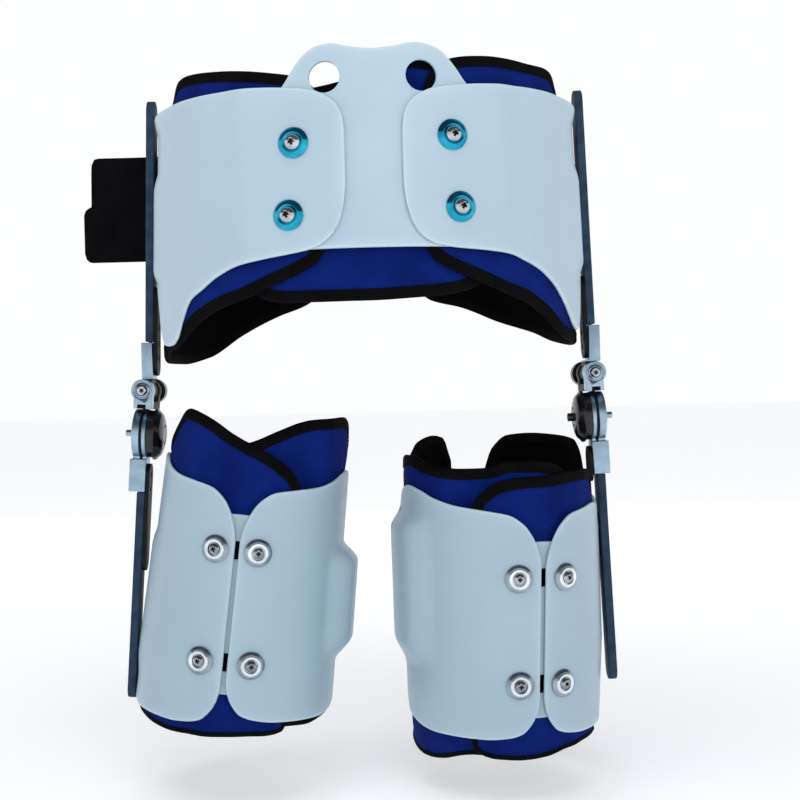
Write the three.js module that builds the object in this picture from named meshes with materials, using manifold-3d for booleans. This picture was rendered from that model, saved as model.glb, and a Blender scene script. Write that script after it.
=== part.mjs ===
// Hip brace: pelvic girdle, two adjustable hip hinges and two thigh cuffs.
// Millimetres, +Z up, +Y to the wearer's front, +X to the wearer's right.
// The origin is the middle of the space for the pelvis.
import * as THREE from "three";
import { mergeVertices } from "three/addons/utils/BufferGeometryUtils.js";
import Module from "manifold-3d";

const wasm = await Module();
wasm.setup();

// Pelvic ring, measured on the skin side of the padding
const PELVIS_HALF_WIDTH = 154.4;
const PELVIS_HALF_DEPTH = 108;
const PELVIS_FLARE = 0.00018;
const BACK_TURN = 2;

// Layers of the girdle as distances out from the skin side
const GAP = 0.3;
const BACK_PAD = [0, 5];
const SIDE_PAD = [5.8, 10.3];
const PLATE = [10.6, 13.6];
const WING_THICKNESS = 3;
const WING_OVER_PLATE = 3.6;
const BELT = [11, 13.5];
const BELT_LOW = -39.5;
const BELT_HEIGHT = 91;

// How the side pads differ: lift of the upper back corner, drop of the lower edge, rise of its front,
// and the angles where both end
const SIDE_PAD_LIFT = { left: 0, right: 10.5 };
const SIDE_PAD_DROP = { left: 10, right: 3 };
const SIDE_PAD_RISE = { left: 0, right: 9 };
const SIDE_PAD_FADE = { left: [118, 140], right: [140, 166] };

// Back plate and its two lacing holes
const HOLE_RADIUS = 11.5;
const HOLE_ANGLES = [-12, 12.6];
const PLATE_RIGHT_STRETCH = 1.08;
const HOLE_HEIGHT = 69.5;

// Raised channel along the outer edge of each wing
const WING_BULGE = 5.2;

// Cup washers and screws on the wings
const WASHER_RADIUS = 11.3;
const WASHER_TILT = 1.8;
const WASHER_SEATS = [
  { name: "upper", angle: 19.7, height: 24 },
  { name: "lower", angle: 21.2, height: -28.3 },
];

// Bars and hinges
const FLEX_DROP = 35.3;
const BAR_LEAN = 1.65;
const BAR_THICKNESS = 6.5;
const BAR_WIDTH = 18;
const STRIP_THICKNESS = 2.8;
const DISC_RADIUS = 20;
const COVER_RADIUS = 21;
const EAR_RADIUS = 9;
const BARREL_HALF = 20;

// Thigh cuffs, measured on the skin side of the padding
const CUFF_OUTER_PAD = [4.8, 9.3];
const CUFF_STRIP = [9.6, 12.1];
const CUFF_SHELL = [12.4, 15.4];
const SNAP_RADIUS = 10.6;
const SNAP_TURN = 13.3;
const SEAM_HALF = 1.25;

// How each leg is set: pivot, bar, cuff size and place, snaps
const LEGS = [
  {
    name: "left", side: -1, pivotX: 184.5, pivotZ: -152.5, abduction: 4.2, barSeat: -3.9, stripLow: -112,
    radius: 62, taper: -0.027, press: 0, out: 88.7, lean: 3, drop: 125.5, seam: 2.4,
    snapHeight: 42.6, snapSpread: -1,
  },
  {
    name: "right", side: 1, pivotX: 180, pivotZ: -147.4, abduction: 2, barSeat: -1.2, stripLow: -53.5,
    radius: 65.3, taper: 0.036, press: 9.2, out: 84.45, lean: -3.4, drop: 157.5, seam: 16.4,
    snapHeight: 40.6, snapSpread: 0.5,
  },
];

// The two half shells of each cuff: raised panel with its lower and upper end, and trimmed edges
const HALVES = {
  left: [
    { name: "outer", turn: 1, bulge: 2.4, low: -64, high: 42, trim: 0, drop: 6 },
    { name: "inner", turn: -1, bulge: 13, low: -36, high: 42, trim: 0, drop: 0 },
  ],
  right: [
    { name: "outer", turn: 1, bulge: 3, low: -25, high: 81, trim: 9, drop: -4 },
    { name: "inner", turn: -1, bulge: 9, low: -25, high: 81, trim: 0, drop: -3 },
  ],
};

// Outlines, one row for each section around the body
const PLATE_ROWS = [
  { angle: -27, top: 40, bottom: -40 },
  { angle: -25, top: 58, bottom: -50 },
  { angle: -22.5, top: 68, bottom: -54 },
  { angle: -20, top: 78.5, bottom: -55 },
  { angle: -17, top: 88, bottom: -55 },
  { angle: -14, top: 92.5, bottom: -55 },
  { angle: -10.5, top: 94, bottom: -55 },
  { angle: -5, top: 91, bottom: -55 },
  { angle: 0, top: 89.5, bottom: -55 },
];
// Lower edges of the left and the right wing differ
const WING_ROWS = [
  { angle: 7, top: 28, left: -8, right: -8 },
  { angle: 7.6, top: 41, left: -24, right: -24 },
  { angle: 9, top: 49.5, left: -38, right: -38 },
  { angle: 11.5, top: 55.5, left: -48, right: -48 },
  { angle: 15, top: 60, left: -54.5, right: -53.5 },
  { angle: 20, top: 62.5, left: -57.5, right: -56 },
  { angle: 28, top: 65, left: -60.5, right: -57.5 },
  { angle: 37, top: 66.8, left: -64.5, right: -60 },
  { angle: 43, top: 67.5, left: -70, right: -64 },
  { angle: 49, top: 68, left: -79, right: -69.5 },
  { angle: 54, top: 68.3, left: -86, right: -76 },
  { angle: 58, top: 68.5, left: -101, right: -82.5 },
  { angle: 61, top: 68.5, left: -114, right: -89 },
  { angle: 65, top: 68.5, left: -119, right: -98.5 },
  { angle: 68, top: 68.5, left: -119, right: -106 },
  { angle: 71, top: 68.5, left: -118, right: -112 },
  { angle: 73, top: 68.3, left: -113, right: -114 },
  { angle: 75, top: 68, left: -104, right: -111.5 },
  { angle: 78, top: 67.5, left: -84, right: -92 },
  { angle: 82, top: 66, left: -72, right: -72 },
  { angle: 88, top: 60, left: -62, right: -62 },
];
const BACK_PAD_ROWS = [
  { angle: -34, top: 44, bottom: -76 },
  { angle: -30, top: 55, bottom: -87 },
  { angle: -22, top: 61.5, bottom: -91.5 },
  { angle: -10, top: 66, bottom: -92 },
  { angle: 0, top: 73, bottom: -92 },
  { angle: 12, top: 85, bottom: -90.5 },
  { angle: 22, top: 81, bottom: -88 },
  { angle: 30, top: 64, bottom: -82 },
  { angle: 34, top: 48, bottom: -72 },
];
const SIDE_PAD_ROWS = [
  { angle: 13, top: 48, bottom: -52 },
  { angle: 15, top: 62, bottom: -63 },
  { angle: 20, top: 72, bottom: -71 },
  { angle: 28, top: 77, bottom: -79.5 },
  { angle: 36, top: 81, bottom: -87.5 },
  { angle: 45, top: 84.5, bottom: -94 },
  { angle: 53, top: 86.8, bottom: -103 },
  { angle: 59, top: 87.5, bottom: -113 },
  { angle: 63, top: 86.5, bottom: -117.5 },
  { angle: 66, top: 83, bottom: -119.5 },
  { angle: 68, top: 77, bottom: -120 },
  { angle: 76, top: 59, bottom: -120.5 },
  { angle: 92, top: 58, bottom: -120.5 },
  { angle: 108, top: 57, bottom: -120 },
  { angle: 122, top: 56, bottom: -115 },
  { angle: 136, top: 54, bottom: -104 },
  { angle: 150, top: 52, bottom: -87 },
  { angle: 160, top: 48, bottom: -76 },
  { angle: 166, top: 38, bottom: -60 },
];
const SHELL_ROWS = [
  { angle: 0, top: 50, bottom: -56 },
  { angle: 1.5, top: 60, bottom: -66 },
  { angle: 4.5, top: 71, bottom: -74 },
  { angle: 10, top: 81.5, bottom: -81.5 },
  { angle: 18, top: 88.5, bottom: -84.5 },
  { angle: 30, top: 91.5, bottom: -86 },
  { angle: 48, top: 95, bottom: -86 },
  { angle: 62, top: 100, bottom: -86 },
  { angle: 72, top: 105, bottom: -85 },
  { angle: 84, top: 108, bottom: -82 },
  { angle: 94, top: 104, bottom: -78 },
  { angle: 100, top: 90, bottom: -64 },
];
const LEFT_OUTER_PAD_ROWS = [
  { angle: -42, top: 70, bottom: -84 },
  { angle: -38, top: 91, bottom: -94 },
  { angle: -27, top: 108, bottom: -97 },
  { angle: -16, top: 116, bottom: -98 },
  { angle: -2, top: 123, bottom: -99.5 },
  { angle: 12, top: 130, bottom: -101 },
  { angle: 32, top: 141.5, bottom: -101 },
  { angle: 47, top: 145.5, bottom: -100 },
  { angle: 64, top: 133, bottom: -98 },
  { angle: 80, top: 119, bottom: -97 },
  { angle: 100, top: 113, bottom: -96 },
  { angle: 130, top: 117, bottom: -95 },
  { angle: 148, top: 114, bottom: -94 },
  { angle: 158, top: 106, bottom: -87 },
  { angle: 162, top: 92, bottom: -66 },
];
const LEFT_INNER_PAD_ROWS = [
  { angle: -34, top: 98, bottom: -80 },
  { angle: -30, top: 111, bottom: -90 },
  { angle: -14, top: 119, bottom: -96 },
  { angle: 2, top: 125, bottom: -98 },
  { angle: 20, top: 135, bottom: -96 },
  { angle: 37, top: 143, bottom: -94 },
  { angle: 60, top: 148.5, bottom: -91 },
  { angle: 80, top: 150, bottom: -89 },
  { angle: 90, top: 145, bottom: -89 },
  { angle: 98, top: 132, bottom: -90 },
  { angle: 112, top: 124, bottom: -92 },
  { angle: 134, top: 120, bottom: -94 },
  { angle: 150, top: 115, bottom: -94 },
  { angle: 160, top: 107, bottom: -86 },
  { angle: 164, top: 92, bottom: -66 },
];
const RIGHT_OUTER_PAD_ROWS = [
  { angle: -42, top: 80, bottom: -82 },
  { angle: -40, top: 92, bottom: -91 },
  { angle: -34, top: 104, bottom: -96 },
  { angle: -25, top: 112.5, bottom: -98.5 },
  { angle: -12, top: 116, bottom: -99.5 },
  { angle: 6, top: 117.5, bottom: -98 },
  { angle: 22, top: 120, bottom: -94 },
  { angle: 40, top: 121, bottom: -91 },
  { angle: 54, top: 118, bottom: -91 },
  { angle: 62, top: 106, bottom: -92 },
  { angle: 66, top: 100.5, bottom: -93 },
  { angle: 81, top: 100.5, bottom: -94 },
  { angle: 86, top: 116, bottom: -94 },
  { angle: 92, top: 133, bottom: -94.5 },
  { angle: 100, top: 142, bottom: -95 },
  { angle: 120, top: 145, bottom: -95 },
  { angle: 138, top: 146, bottom: -94 },
  { angle: 154, top: 144, bottom: -93 },
  { angle: 164, top: 132, bottom: -86 },
  { angle: 169, top: 112, bottom: -66 },
];
const RIGHT_INNER_PAD_ROWS = [
  { angle: -34, top: 100, bottom: -82 },
  { angle: -30, top: 114, bottom: -92 },
  { angle: -14, top: 125, bottom: -97 },
  { angle: 2, top: 128, bottom: -99 },
  { angle: 18, top: 128, bottom: -99 },
  { angle: 32, top: 123, bottom: -98 },
  { angle: 49, top: 122, bottom: -99 },
  { angle: 62, top: 124, bottom: -103 },
  { angle: 72, top: 126.5, bottom: -105 },
  { angle: 82, top: 131, bottom: -105.5 },
  { angle: 94, top: 131, bottom: -104 },
  { angle: 112, top: 127, bottom: -100 },
  { angle: 130, top: 128, bottom: -96 },
  { angle: 140, top: 139, bottom: -95 },
  { angle: 154, top: 144, bottom: -93 },
  { angle: 162, top: 142, bottom: -87 },
  { angle: 168, top: 122, bottom: -66 },
];
const CUFF_PAD_ROWS = {
  left: { outer: LEFT_OUTER_PAD_ROWS, inner: LEFT_INNER_PAD_ROWS },
  right: { outer: RIGHT_OUTER_PAD_ROWS, inner: RIGHT_INNER_PAD_ROWS },
};

const radians = THREE.MathUtils.degToRad;
const ramp = THREE.MathUtils.smoothstep;

// One material for each kind of finish
function finish(colour, roughness, metalness) {
  return new THREE.MeshStandardMaterial({ color: colour, roughness, metalness });
}

function named(name, geometry, material) {
  const mesh = new THREE.Mesh(geometry, material);
  mesh.name = name;
  return mesh;
}

// A closed geometry with its faces turned outward
function closed(positions, index) {
  const geometry = new THREE.BufferGeometry();
  geometry.setAttribute("position", new THREE.Float32BufferAttribute(positions, 3));
  const p = (i) => new THREE.Vector3(positions[3 * i], positions[3 * i + 1], positions[3 * i + 2]);
  let volume = 0;
  for (let i = 0; i < index.length; i += 3) {
    volume += p(index[i]).dot(p(index[i + 1]).cross(p(index[i + 2])));
  }
  const turned = [];
  for (let i = 0; i < index.length; i += 3) {
    const [a, b, c] = index.slice(i, i + 3);
    turned.push(...(volume < 0 ? [a, c, b] : [a, b, c]));
  }
  geometry.setIndex(turned);
  return geometry;
}

// Vertices joined so that neighbouring faces share them
function joined(geometry) {
  const copy = geometry.clone();
  copy.deleteAttribute("normal");
  copy.deleteAttribute("uv");
  const merged = mergeVertices(copy, 1e-4);
  return closed(Array.from(merged.attributes.position.array), Array.from(merged.index.array));
}

// The same geometry on the other side of the body
function mirrored(geometry, side) {
  const copy = joined(geometry);
  copy.scale(side, 1, 1);
  return joined(copy);
}

function toManifold(geometry) {
  const g = joined(geometry);
  return new wasm.Manifold(new wasm.Mesh({
    numProp: 3,
    vertProperties: new Float32Array(g.attributes.position.array),
    triVerts: new Uint32Array(g.index.array),
  }));
}

function fromManifold(body) {
  const mesh = body.getMesh();
  return closed(Array.from(mesh.vertProperties), Array.from(mesh.triVerts));
}

function fused(...geometries) {
  let body = toManifold(geometries[0]);
  for (const other of geometries.slice(1)) {
    body = body.add(toManifold(other));
  }
  return fromManifold(body);
}

function cut(geometry, ...tools) {
  let body = toManifold(geometry);
  for (const tool of tools) {
    body = body.subtract(toManifold(tool));
  }
  return fromManifold(body);
}

// Height of an outline between its table rows, without overshoot
function outline(rows, column, angle) {
  const n = rows.length - 1;
  const at = Math.min(Math.max(angle, rows[0].angle), rows[n].angle);
  let i = 0;
  while (i < n - 1 && at > rows[i + 1].angle) {
    i += 1;
  }
  const chord = (k) => (rows[k + 1][column] - rows[k][column]) / (rows[k + 1].angle - rows[k].angle);
  const tangent = (k) => {
    if (k === 0) return chord(0);
    if (k === n) return chord(n - 1);
    const a = chord(k - 1);
    const b = chord(k);
    return a * b <= 0 ? 0 : (2 * a * b) / (a + b);
  };
  const width = rows[i + 1].angle - rows[i].angle;
  const t = (at - rows[i].angle) / width;
  const s = t * t * (3 - 2 * t);
  const level = rows[i][column] * (1 - s) + rows[i + 1][column] * s;
  const slope = tangent(i) * t * (1 - t) * (1 - t) - tangent(i + 1) * t * t * (1 - t);
  return level + width * slope;
}

// Angles at the table rows, with extra ones where the rows stand far apart
function stations(rows, step) {
  const list = [];
  for (let i = 0; i < rows.length - 1; i += 1) {
    const count = Math.max(1, Math.round((rows[i + 1].angle - rows[i].angle) / step));
    for (let k = 0; k < count; k += 1) {
      list.push(rows[i].angle + ((rows[i + 1].angle - rows[i].angle) * k) / count);
    }
  }
  list.push(rows[rows.length - 1].angle);
  return list;
}

// A curved wall between two outlines: place gives a point from angle, height and layer
function wall(rows, step, levels, place) {
  const angles = stations(rows, step);
  const positions = [];
  for (const layer of [0, 1]) {
    for (const angle of angles) {
      const top = outline(rows, "top", angle);
      const bottom = outline(rows, "bottom", angle);
      for (let j = 0; j <= levels; j += 1) {
        positions.push(...place(angle, bottom + ((top - bottom) * j) / levels, layer).toArray());
      }
    }
  }
  const high = levels + 1;
  const half = angles.length * high;
  const id = (layer, i, j) => layer * half + i * high + j;
  const index = [];
  const quad = (a, b, c, d) => index.push(a, b, c, a, c, d);
  const last = angles.length - 1;
  for (let i = 0; i < last; i += 1) {
    for (let j = 0; j < levels; j += 1) {
      quad(id(0, i, j), id(0, i, j + 1), id(0, i + 1, j + 1), id(0, i + 1, j));
      quad(id(1, i, j), id(1, i + 1, j), id(1, i + 1, j + 1), id(1, i, j + 1));
    }
    quad(id(0, i, 0), id(0, i + 1, 0), id(1, i + 1, 0), id(1, i, 0));
    quad(id(0, i, levels), id(1, i, levels), id(1, i + 1, levels), id(0, i + 1, levels));
  }
  for (let j = 0; j < levels; j += 1) {
    quad(id(0, 0, j), id(1, 0, j), id(1, 0, j + 1), id(0, 0, j + 1));
    quad(id(0, last, j), id(0, last, j + 1), id(1, last, j + 1), id(1, last, j));
  }
  return closed(positions, index);
}

// A point on the pelvic ring; angle 0 is the middle of the back
function pelvis(angle, height, out) {
  const grow = 1 - PELVIS_FLARE * height;
  const x = (PELVIS_HALF_WIDTH + out) * grow * Math.sin(radians(angle));
  const y = -(PELVIS_HALF_DEPTH + out) * grow * Math.cos(radians(angle));
  return new THREE.Vector3(x, y, height);
}

// The back pieces sit a little round to the right
function turned(angle) {
  return angle + BACK_TURN * (1 - ramp(Math.abs(angle), 30, 64));
}

// A point on a thigh cuff; angle 0 is its back, and the outer side is pressed in by the bar
function thigh(leg, angle, height, skin) {
  const radius = skin + leg.taper * height;
  const outward = Math.sin(radians(angle));
  const rise = THREE.MathUtils.clamp((height + 25) / 135, 0, 1);
  const press = leg.press * rise * ramp(outward, 0.3, 1);
  return new THREE.Vector3(radius * outward - press, -radius * Math.cos(radians(angle)), height);
}

// A turned solid from pairs of radius and height, its axis along the outward direction
function seated(profile, segments, at, outward) {
  const points = profile.map(([r, h]) => new THREE.Vector2(r, h));
  const geometry = joined(new THREE.LatheGeometry(points, segments));
  const up = new THREE.Vector3(0, 1, 0);
  geometry.applyQuaternion(new THREE.Quaternion().setFromUnitVectors(up, outward));
  geometry.translate(at.x, at.y, at.z);
  return geometry;
}

function block(x, y, z) {
  const geometry = new THREE.BoxGeometry(x[1] - x[0], y[1] - y[0], z[1] - z[0]);
  geometry.translate((x[0] + x[1]) / 2, (y[0] + y[1]) / 2, (z[0] + z[1]) / 2);
  return geometry;
}

const ALONG_X = new THREE.Vector3(1, 0, 0);
const ALONG_Y = new THREE.Vector3(0, 1, 0);

// A flat bar with round ends and a row of holes, its thickness along X
function flatBar(thickness, width, low, high, holes) {
  const shape = new THREE.Shape();
  const r = width / 2;
  shape.absarc(0, high - r, r, 0, Math.PI, false);
  shape.absarc(0, low + r, r, Math.PI, 2 * Math.PI, false);
  for (const height of holes) {
    const hole = new THREE.Path();
    hole.absarc(0, height, 2.4, 0, 2 * Math.PI, true);
    shape.holes.push(hole);
  }
  const options = { depth: thickness, bevelEnabled: false, curveSegments: 5 };
  const geometry = new THREE.ExtrudeGeometry(shape, options);
  geometry.rotateX(Math.PI / 2);
  geometry.rotateZ(Math.PI / 2);
  return joined(geometry);
}

const PLASTIC = 0xbdd3df;
const BLUE = 0x14306f;
const TURQUOISE = 0x0f86a8;
const STEEL = 0xb9c2c8;
const DARK = 0x23272e;

const brace = new THREE.Group();
brace.name = "hip_brace";
const girdle = new THREE.Group();
girdle.name = "girdle";
brace.add(girdle);

// Back plate with its two lacing holes
const plateRows = [
  ...PLATE_ROWS,
  ...PLATE_ROWS.slice(0, -1).reverse().map((row) => (
    { ...row, angle: -row.angle * PLATE_RIGHT_STRETCH })),
];
const plateWall = wall(plateRows, 5, 4, (angle, height, layer) =>
  pelvis(angle + BACK_TURN, height, PLATE[layer]));
const holeTools = HOLE_ANGLES.map((angle) => {
  const at = pelvis(BACK_TURN + angle, HOLE_HEIGHT, PLATE[0] - 6);
  const outward = pelvis(BACK_TURN + angle, HOLE_HEIGHT, PLATE[1] + 8).sub(at).normalize();
  const profile = [[0, 0], [HOLE_RADIUS, 0], [HOLE_RADIUS, 16], [0, 16]];
  return seated(profile, 20, at, outward);
});
girdle.add(named("back_plate", cut(plateWall, ...holeTools), finish(PLASTIC, 0.35, 0)));

// Padding behind the plate
const backPad = wall(BACK_PAD_ROWS, 8, 3, (angle, height, layer) =>
  pelvis(angle, height, BACK_PAD[layer]));
girdle.add(named("back_pad", backPad, finish(BLUE, 0.9, 0)));

// How far the wing's inner face stands out from the skin side
function wingSeat(angle, height) {
  const over = WING_OVER_PLATE * (1 - ramp(angle, 33, 43));
  const channel = ramp(height, -74, -56) * (1 - ramp(height, 5, 33));
  const lip = ramp(height, 39, 69);
  return PLATE[0] + over + WING_BULGE * ramp(angle, 68, 82) * Math.max(channel, lip, 0.4);
}

for (const { name, side, pivotX, pivotZ } of LEGS) {
  const around = (angle) => turned(side * angle);

  // Plastic wing over the plate
  const wingRows = WING_ROWS.map((row) => ({ angle: row.angle, top: row.top, bottom: row[name] }));
  const wing = wall(wingRows, 6, 7, (angle, height, layer) => {
    const out = wingSeat(angle, height) + WING_THICKNESS * layer;
    return pelvis(around(angle), height, out);
  });
  girdle.add(named(`wing_${name}`, wing, finish(PLASTIC, 0.35, 0)));

  // Side padding from the back round to the front
  const padRows = SIDE_PAD_ROWS.map((row) => {
    const lift = SIDE_PAD_LIFT[name] * ramp(row.angle, 10, 18) * (1 - ramp(row.angle, 22, 58));
    const low = SIDE_PAD_DROP[name] - SIDE_PAD_RISE[name] * ramp(row.angle, 100, 118);
    const drop = low * ramp(row.angle, 72, 94) * (1 - ramp(row.angle, ...SIDE_PAD_FADE[name]));
    return { angle: row.angle, top: row.top + lift, bottom: row.bottom - drop };
  });
  const pad = wall(padRows, 9, 3, (angle, height, layer) =>
    pelvis(around(angle), height, SIDE_PAD[layer]));
  girdle.add(named(`side_pad_${name}`, pad, finish(BLUE, 0.9, 0)));

  // Cup washers with their screws
  for (const seat of WASHER_SEATS) {
    const height = seat.height + side * WASHER_TILT;
    const out = wingSeat(seat.angle, height) + WING_THICKNESS + GAP;
    const at = pelvis(around(seat.angle), height, out);
    const behind = pelvis(around(seat.angle - 1), height, out);
    const ahead = pelvis(around(seat.angle + 1), height, out).sub(behind);
    const outward = new THREE.Vector3(ahead.y, -ahead.x, 0).normalize();
    outward.multiplyScalar(Math.sign(outward.dot(at)));
    const cup = [
      [4, 0.5],
      [WASHER_RADIUS, 0],
      [WASHER_RADIUS, 0.9],
      [7.8, 3.4],
      [4, 1.9],
      [4, 0.5],
    ];
    const washer = seated(cup, 18, at, outward);
    girdle.add(named(`washer_${name}_${seat.name}`, washer, finish(TURQUOISE, 0.2, 0.8)));
    const panHead = [[0, 0.2], [3.4, 0.2], [3.4, 2.6], [5.6, 3.2], [5.2, 4.8], [0, 5.8]];
    const screw = seated(panHead, 14, at, outward);
    girdle.add(named(`screw_${name}_${seat.name}`, screw, finish(STEEL, 0.2, 1)));
  }

  // Upright bar with its inner strip, leaning outward towards the hip
  const tilt = (geometry) => {
    geometry.rotateY(-radians(BAR_LEAN));
    geometry.translate(173.9, 0, -22);
    return mirrored(geometry, side);
  };
  const barLow = pivotZ + 61.5;
  const bar = flatBar(BAR_THICKNESS, BAR_WIDTH, barLow, 106, []);
  const foot = block([0, BAR_THICKNESS], [-BAR_WIDTH / 2, BAR_WIDTH / 2], [barLow, barLow + 18]);
  girdle.add(named(`upright_${name}`, tilt(fused(bar, foot)), finish(DARK, 0.45, 0.6)));
  const strip = flatBar(STRIP_THICKNESS, BAR_WIDTH, pivotZ + 33.9, -46, [-104, -92, -80, -68]);
  strip.translate(-STRIP_THICKNESS - GAP, 0, 0);
  girdle.add(named(`upright_strip_${name}`, tilt(strip), finish(DARK, 0.5, 0.5)));

  // Upper bracket with the middle knuckle of the hip pivot
  const body = block([177.4, 186.4], [-9.5, 9.5], [pivotZ + 9.5, pivotZ + 38.8]);
  const neck = block([pivotX - 5.9, pivotX + 0.9], [-9.5, 9.5], [pivotZ + 2.7, pivotZ + 10.7]);
  const knuckleProfile = [[3.4, -9.5], [8, -9.5], [8, 9.5], [3.4, 9.5], [3.4, -9.5]];
  const knuckle = seated(knuckleProfile, 16, new THREE.Vector3(pivotX, 0, pivotZ), ALONG_Y);
  const boreProfile = [[0, -12], [3.4, -12], [3.4, 12], [0, 12]];
  const bore = seated(boreProfile, 16, new THREE.Vector3(pivotX, 0, pivotZ), ALONG_Y);
  const bracket = cut(fused(body, neck, knuckle), bore);
  girdle.add(named(`hip_bracket_${name}`, mirrored(bracket, side), finish(STEEL, 0.35, 0.9)));
}

// Belt across the front with its stepped free end on the left
function beltPath() {
  const points = [];
  for (let angle = 97; angle <= 252; angle += 5) {
    const seat = pelvis(angle, BELT_LOW, (BELT[0] + BELT[1]) / 2);
    points.push(new THREE.Vector2(seat.x, seat.y));
  }
  const free = [
    [-163, 48],
    [-172, 58],
    [-188, 62],
    [-215, 62.5],
    [-246.5, 62],
  ];
  for (const [x, y] of free) {
    points.push(new THREE.Vector2(x, y));
  }
  return new THREE.SplineCurve(points);
}
const beltLine = beltPath().getSpacedPoints(48);
const half = (BELT[1] - BELT[0]) / 2;
const edge = (side) => beltLine.map((point, i) => {
  const before = beltLine[Math.max(i - 1, 0)];
  const after = beltLine[Math.min(i + 1, beltLine.length - 1)];
  const along = after.clone().sub(before).normalize();
  return new THREE.Vector2(point.x - along.y * side * half, point.y + along.x * side * half);
});
const beltShape = new THREE.Shape([...edge(1), ...edge(-1).reverse()]);
const beltBand = new THREE.ExtrudeGeometry(beltShape, { depth: BELT_HEIGHT, bevelEnabled: false });
beltBand.translate(0, 0, BELT_LOW);
const beltStep = block([-260, -239.5], [50, 75], [8, 60]);
girdle.add(named("front_belt", cut(beltBand, beltStep), finish(0x101114, 0.95, 0)));

for (const leg of LEGS) {
  const { name, side } = leg;

  // Link between girdle and thigh, turning about the hip pivot
  const link = new THREE.Group();
  link.name = `link_${name}`;
  link.position.set(side * leg.pivotX, 0, leg.pivotZ);
  link.rotation.y = -side * radians(leg.abduction);
  brace.add(link);

  // Clevis with two round ears and a fork for the tongue
  const earProfile = (a, b) => [[0, a], [EAR_RADIUS, a], [EAR_RADIUS, b], [0, b]];
  const origin = new THREE.Vector3();
  const ears = [-1, 1].map((end) => {
    const low = Math.min(end * 10, end * BARREL_HALF);
    const round = seated(earProfile(low, low + 10), 28, origin, ALONG_Y);
    return fused(round, block([-8, 6.5], [low, low + 10], [-14.8, -3]));
  });
  const bridge = block([-8, 6.5], [-BARREL_HALF + 1, BARREL_HALF - 1], [-14.8, -8.6]);
  const forkSlot = block([-3.4, 3.4], [-30, 30], [-16, -11.4]);
  const pinBore = seated([[0, -30], [3.4, -30], [3.4, 30], [0, 30]], 16, origin, ALONG_Y);
  const clevis = cut(fused(ears[0], ears[1], bridge), forkSlot, pinBore);
  link.add(named(`clevis_${name}`, mirrored(clevis, side), finish(STEEL, 0.35, 0.9)));

  // Pivot bolt: screw head at the back, dark clamp knob at the front
  const screwHead = [[0, -22.9], [3, -22.9], [3.6, -22.3], [3.6, -21.2]];
  const flange = [[4.8, -21.1], [4.8, -20.3], [3, -20.3], [3, 20.3]];
  const knob = [[5.2, 20.3], [5.2, 29], [10.4, 29], [10.4, 40], [9, 41.4], [0, 41.4]];
  const boltProfile = [...screwHead, ...flange, ...knob];
  const bolt = seated(boltProfile, 16, origin, ALONG_Y);
  link.add(named(`pivot_bolt_${name}`, bolt, finish(0x3a3f45, 0.4, 0.7)));

  // Tongue: neck in the fork and a round plate between the two discs
  const axisAt = new THREE.Vector3(0, 0, -FLEX_DROP);
  const disc = (low, high) => [[0, low], [DISC_RADIUS, low], [DISC_RADIUS, high], [0, high]];
  const platePart = seated(disc(-0.4, 1), 36, axisAt, ALONG_X);
  const stub = block([-0.4, 1], [-9, 9], [-24, -12]);
  const neckPart = block([-3.1, 3.1], [-9, 9], [-14.9, -11.7]);
  const axle = seated([[0, -9], [3.4, -9], [3.4, 9], [0, 9]], 16, axisAt, ALONG_X);
  const tongue = cut(fused(platePart, stub, neckPart), axle);
  link.add(named(`tongue_${name}`, mirrored(tongue, side), finish(DARK, 0.5, 0.4)));

  // Thigh part, turning about the flexion axis
  const thighPart = new THREE.Group();
  thighPart.name = `thigh_${name}`;
  thighPart.position.set(0, 0, -FLEX_DROP);
  link.add(thighPart);

  // Lower arm: two discs joined by a block below the tongue
  const thick = seated(disc(1.3, 7.2), 36, origin, ALONG_X);
  const thin = seated(disc(-3.9, -0.7), 36, origin, ALONG_X);
  const outerArm = block([1.3, 7.2], [-8, 8], [-24, -10]);
  const innerArm = block([-3.9, -0.7], [-8, 8], [-24, -10]);
  const armBlock = block([-3.9, 9.4], [-9.5, 9.5], [-47, -20.6]);
  const armBore = seated([[0, -9], [3.4, -9], [3.4, 12], [0, 12]], 16, origin, ALONG_X);
  const arm = cut(fused(thick, thin, outerArm, innerArm, armBlock), armBore);
  thighPart.add(named(`lower_arm_${name}`, mirrored(arm, side), finish(STEEL, 0.35, 0.9)));

  // Round cover on the inner side of the hinge; the right one carries a small grip
  const grip = side > 0 ? [[0, -21.6], [2.6, -21.6], [3.4, -20.8], [3.4, -16.4]] : [[0, -16.4]];
  const coverFace = [[12, -16.2], [17, -14.4], [19.6, -11.6], [COVER_RADIUS, -10.4]];
  const coverBack = [[COVER_RADIUS, -8.5], [19.4, -8.5], [19.4, -4.2], [0, -4.2]];
  const coverProfile = [...grip, ...coverFace, ...coverBack];
  const cover = seated(coverProfile, 22, origin, ALONG_X);
  thighPart.add(named(`hinge_cover_${name}`, mirrored(cover, side), finish(DARK, 0.4, 0.1)));

  // Hinge bolt with a washer and a small stud on the outer side
  const pin = [[0, -3.8], [3, -3.8], [3, 7.5]];
  const collar = [[9, 7.5], [9, 9.6], [2.6, 9.6]];
  const tip = [[2.6, 14.6], [2, 15.2], [0, 15.2]];
  const studProfile = [...pin, ...collar, ...tip];
  const stud = seated(studProfile, 16, origin, ALONG_X);
  thighPart.add(named(`hinge_bolt_${name}`, mirrored(stud, side), finish(STEEL, 0.3, 0.9)));

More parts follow.
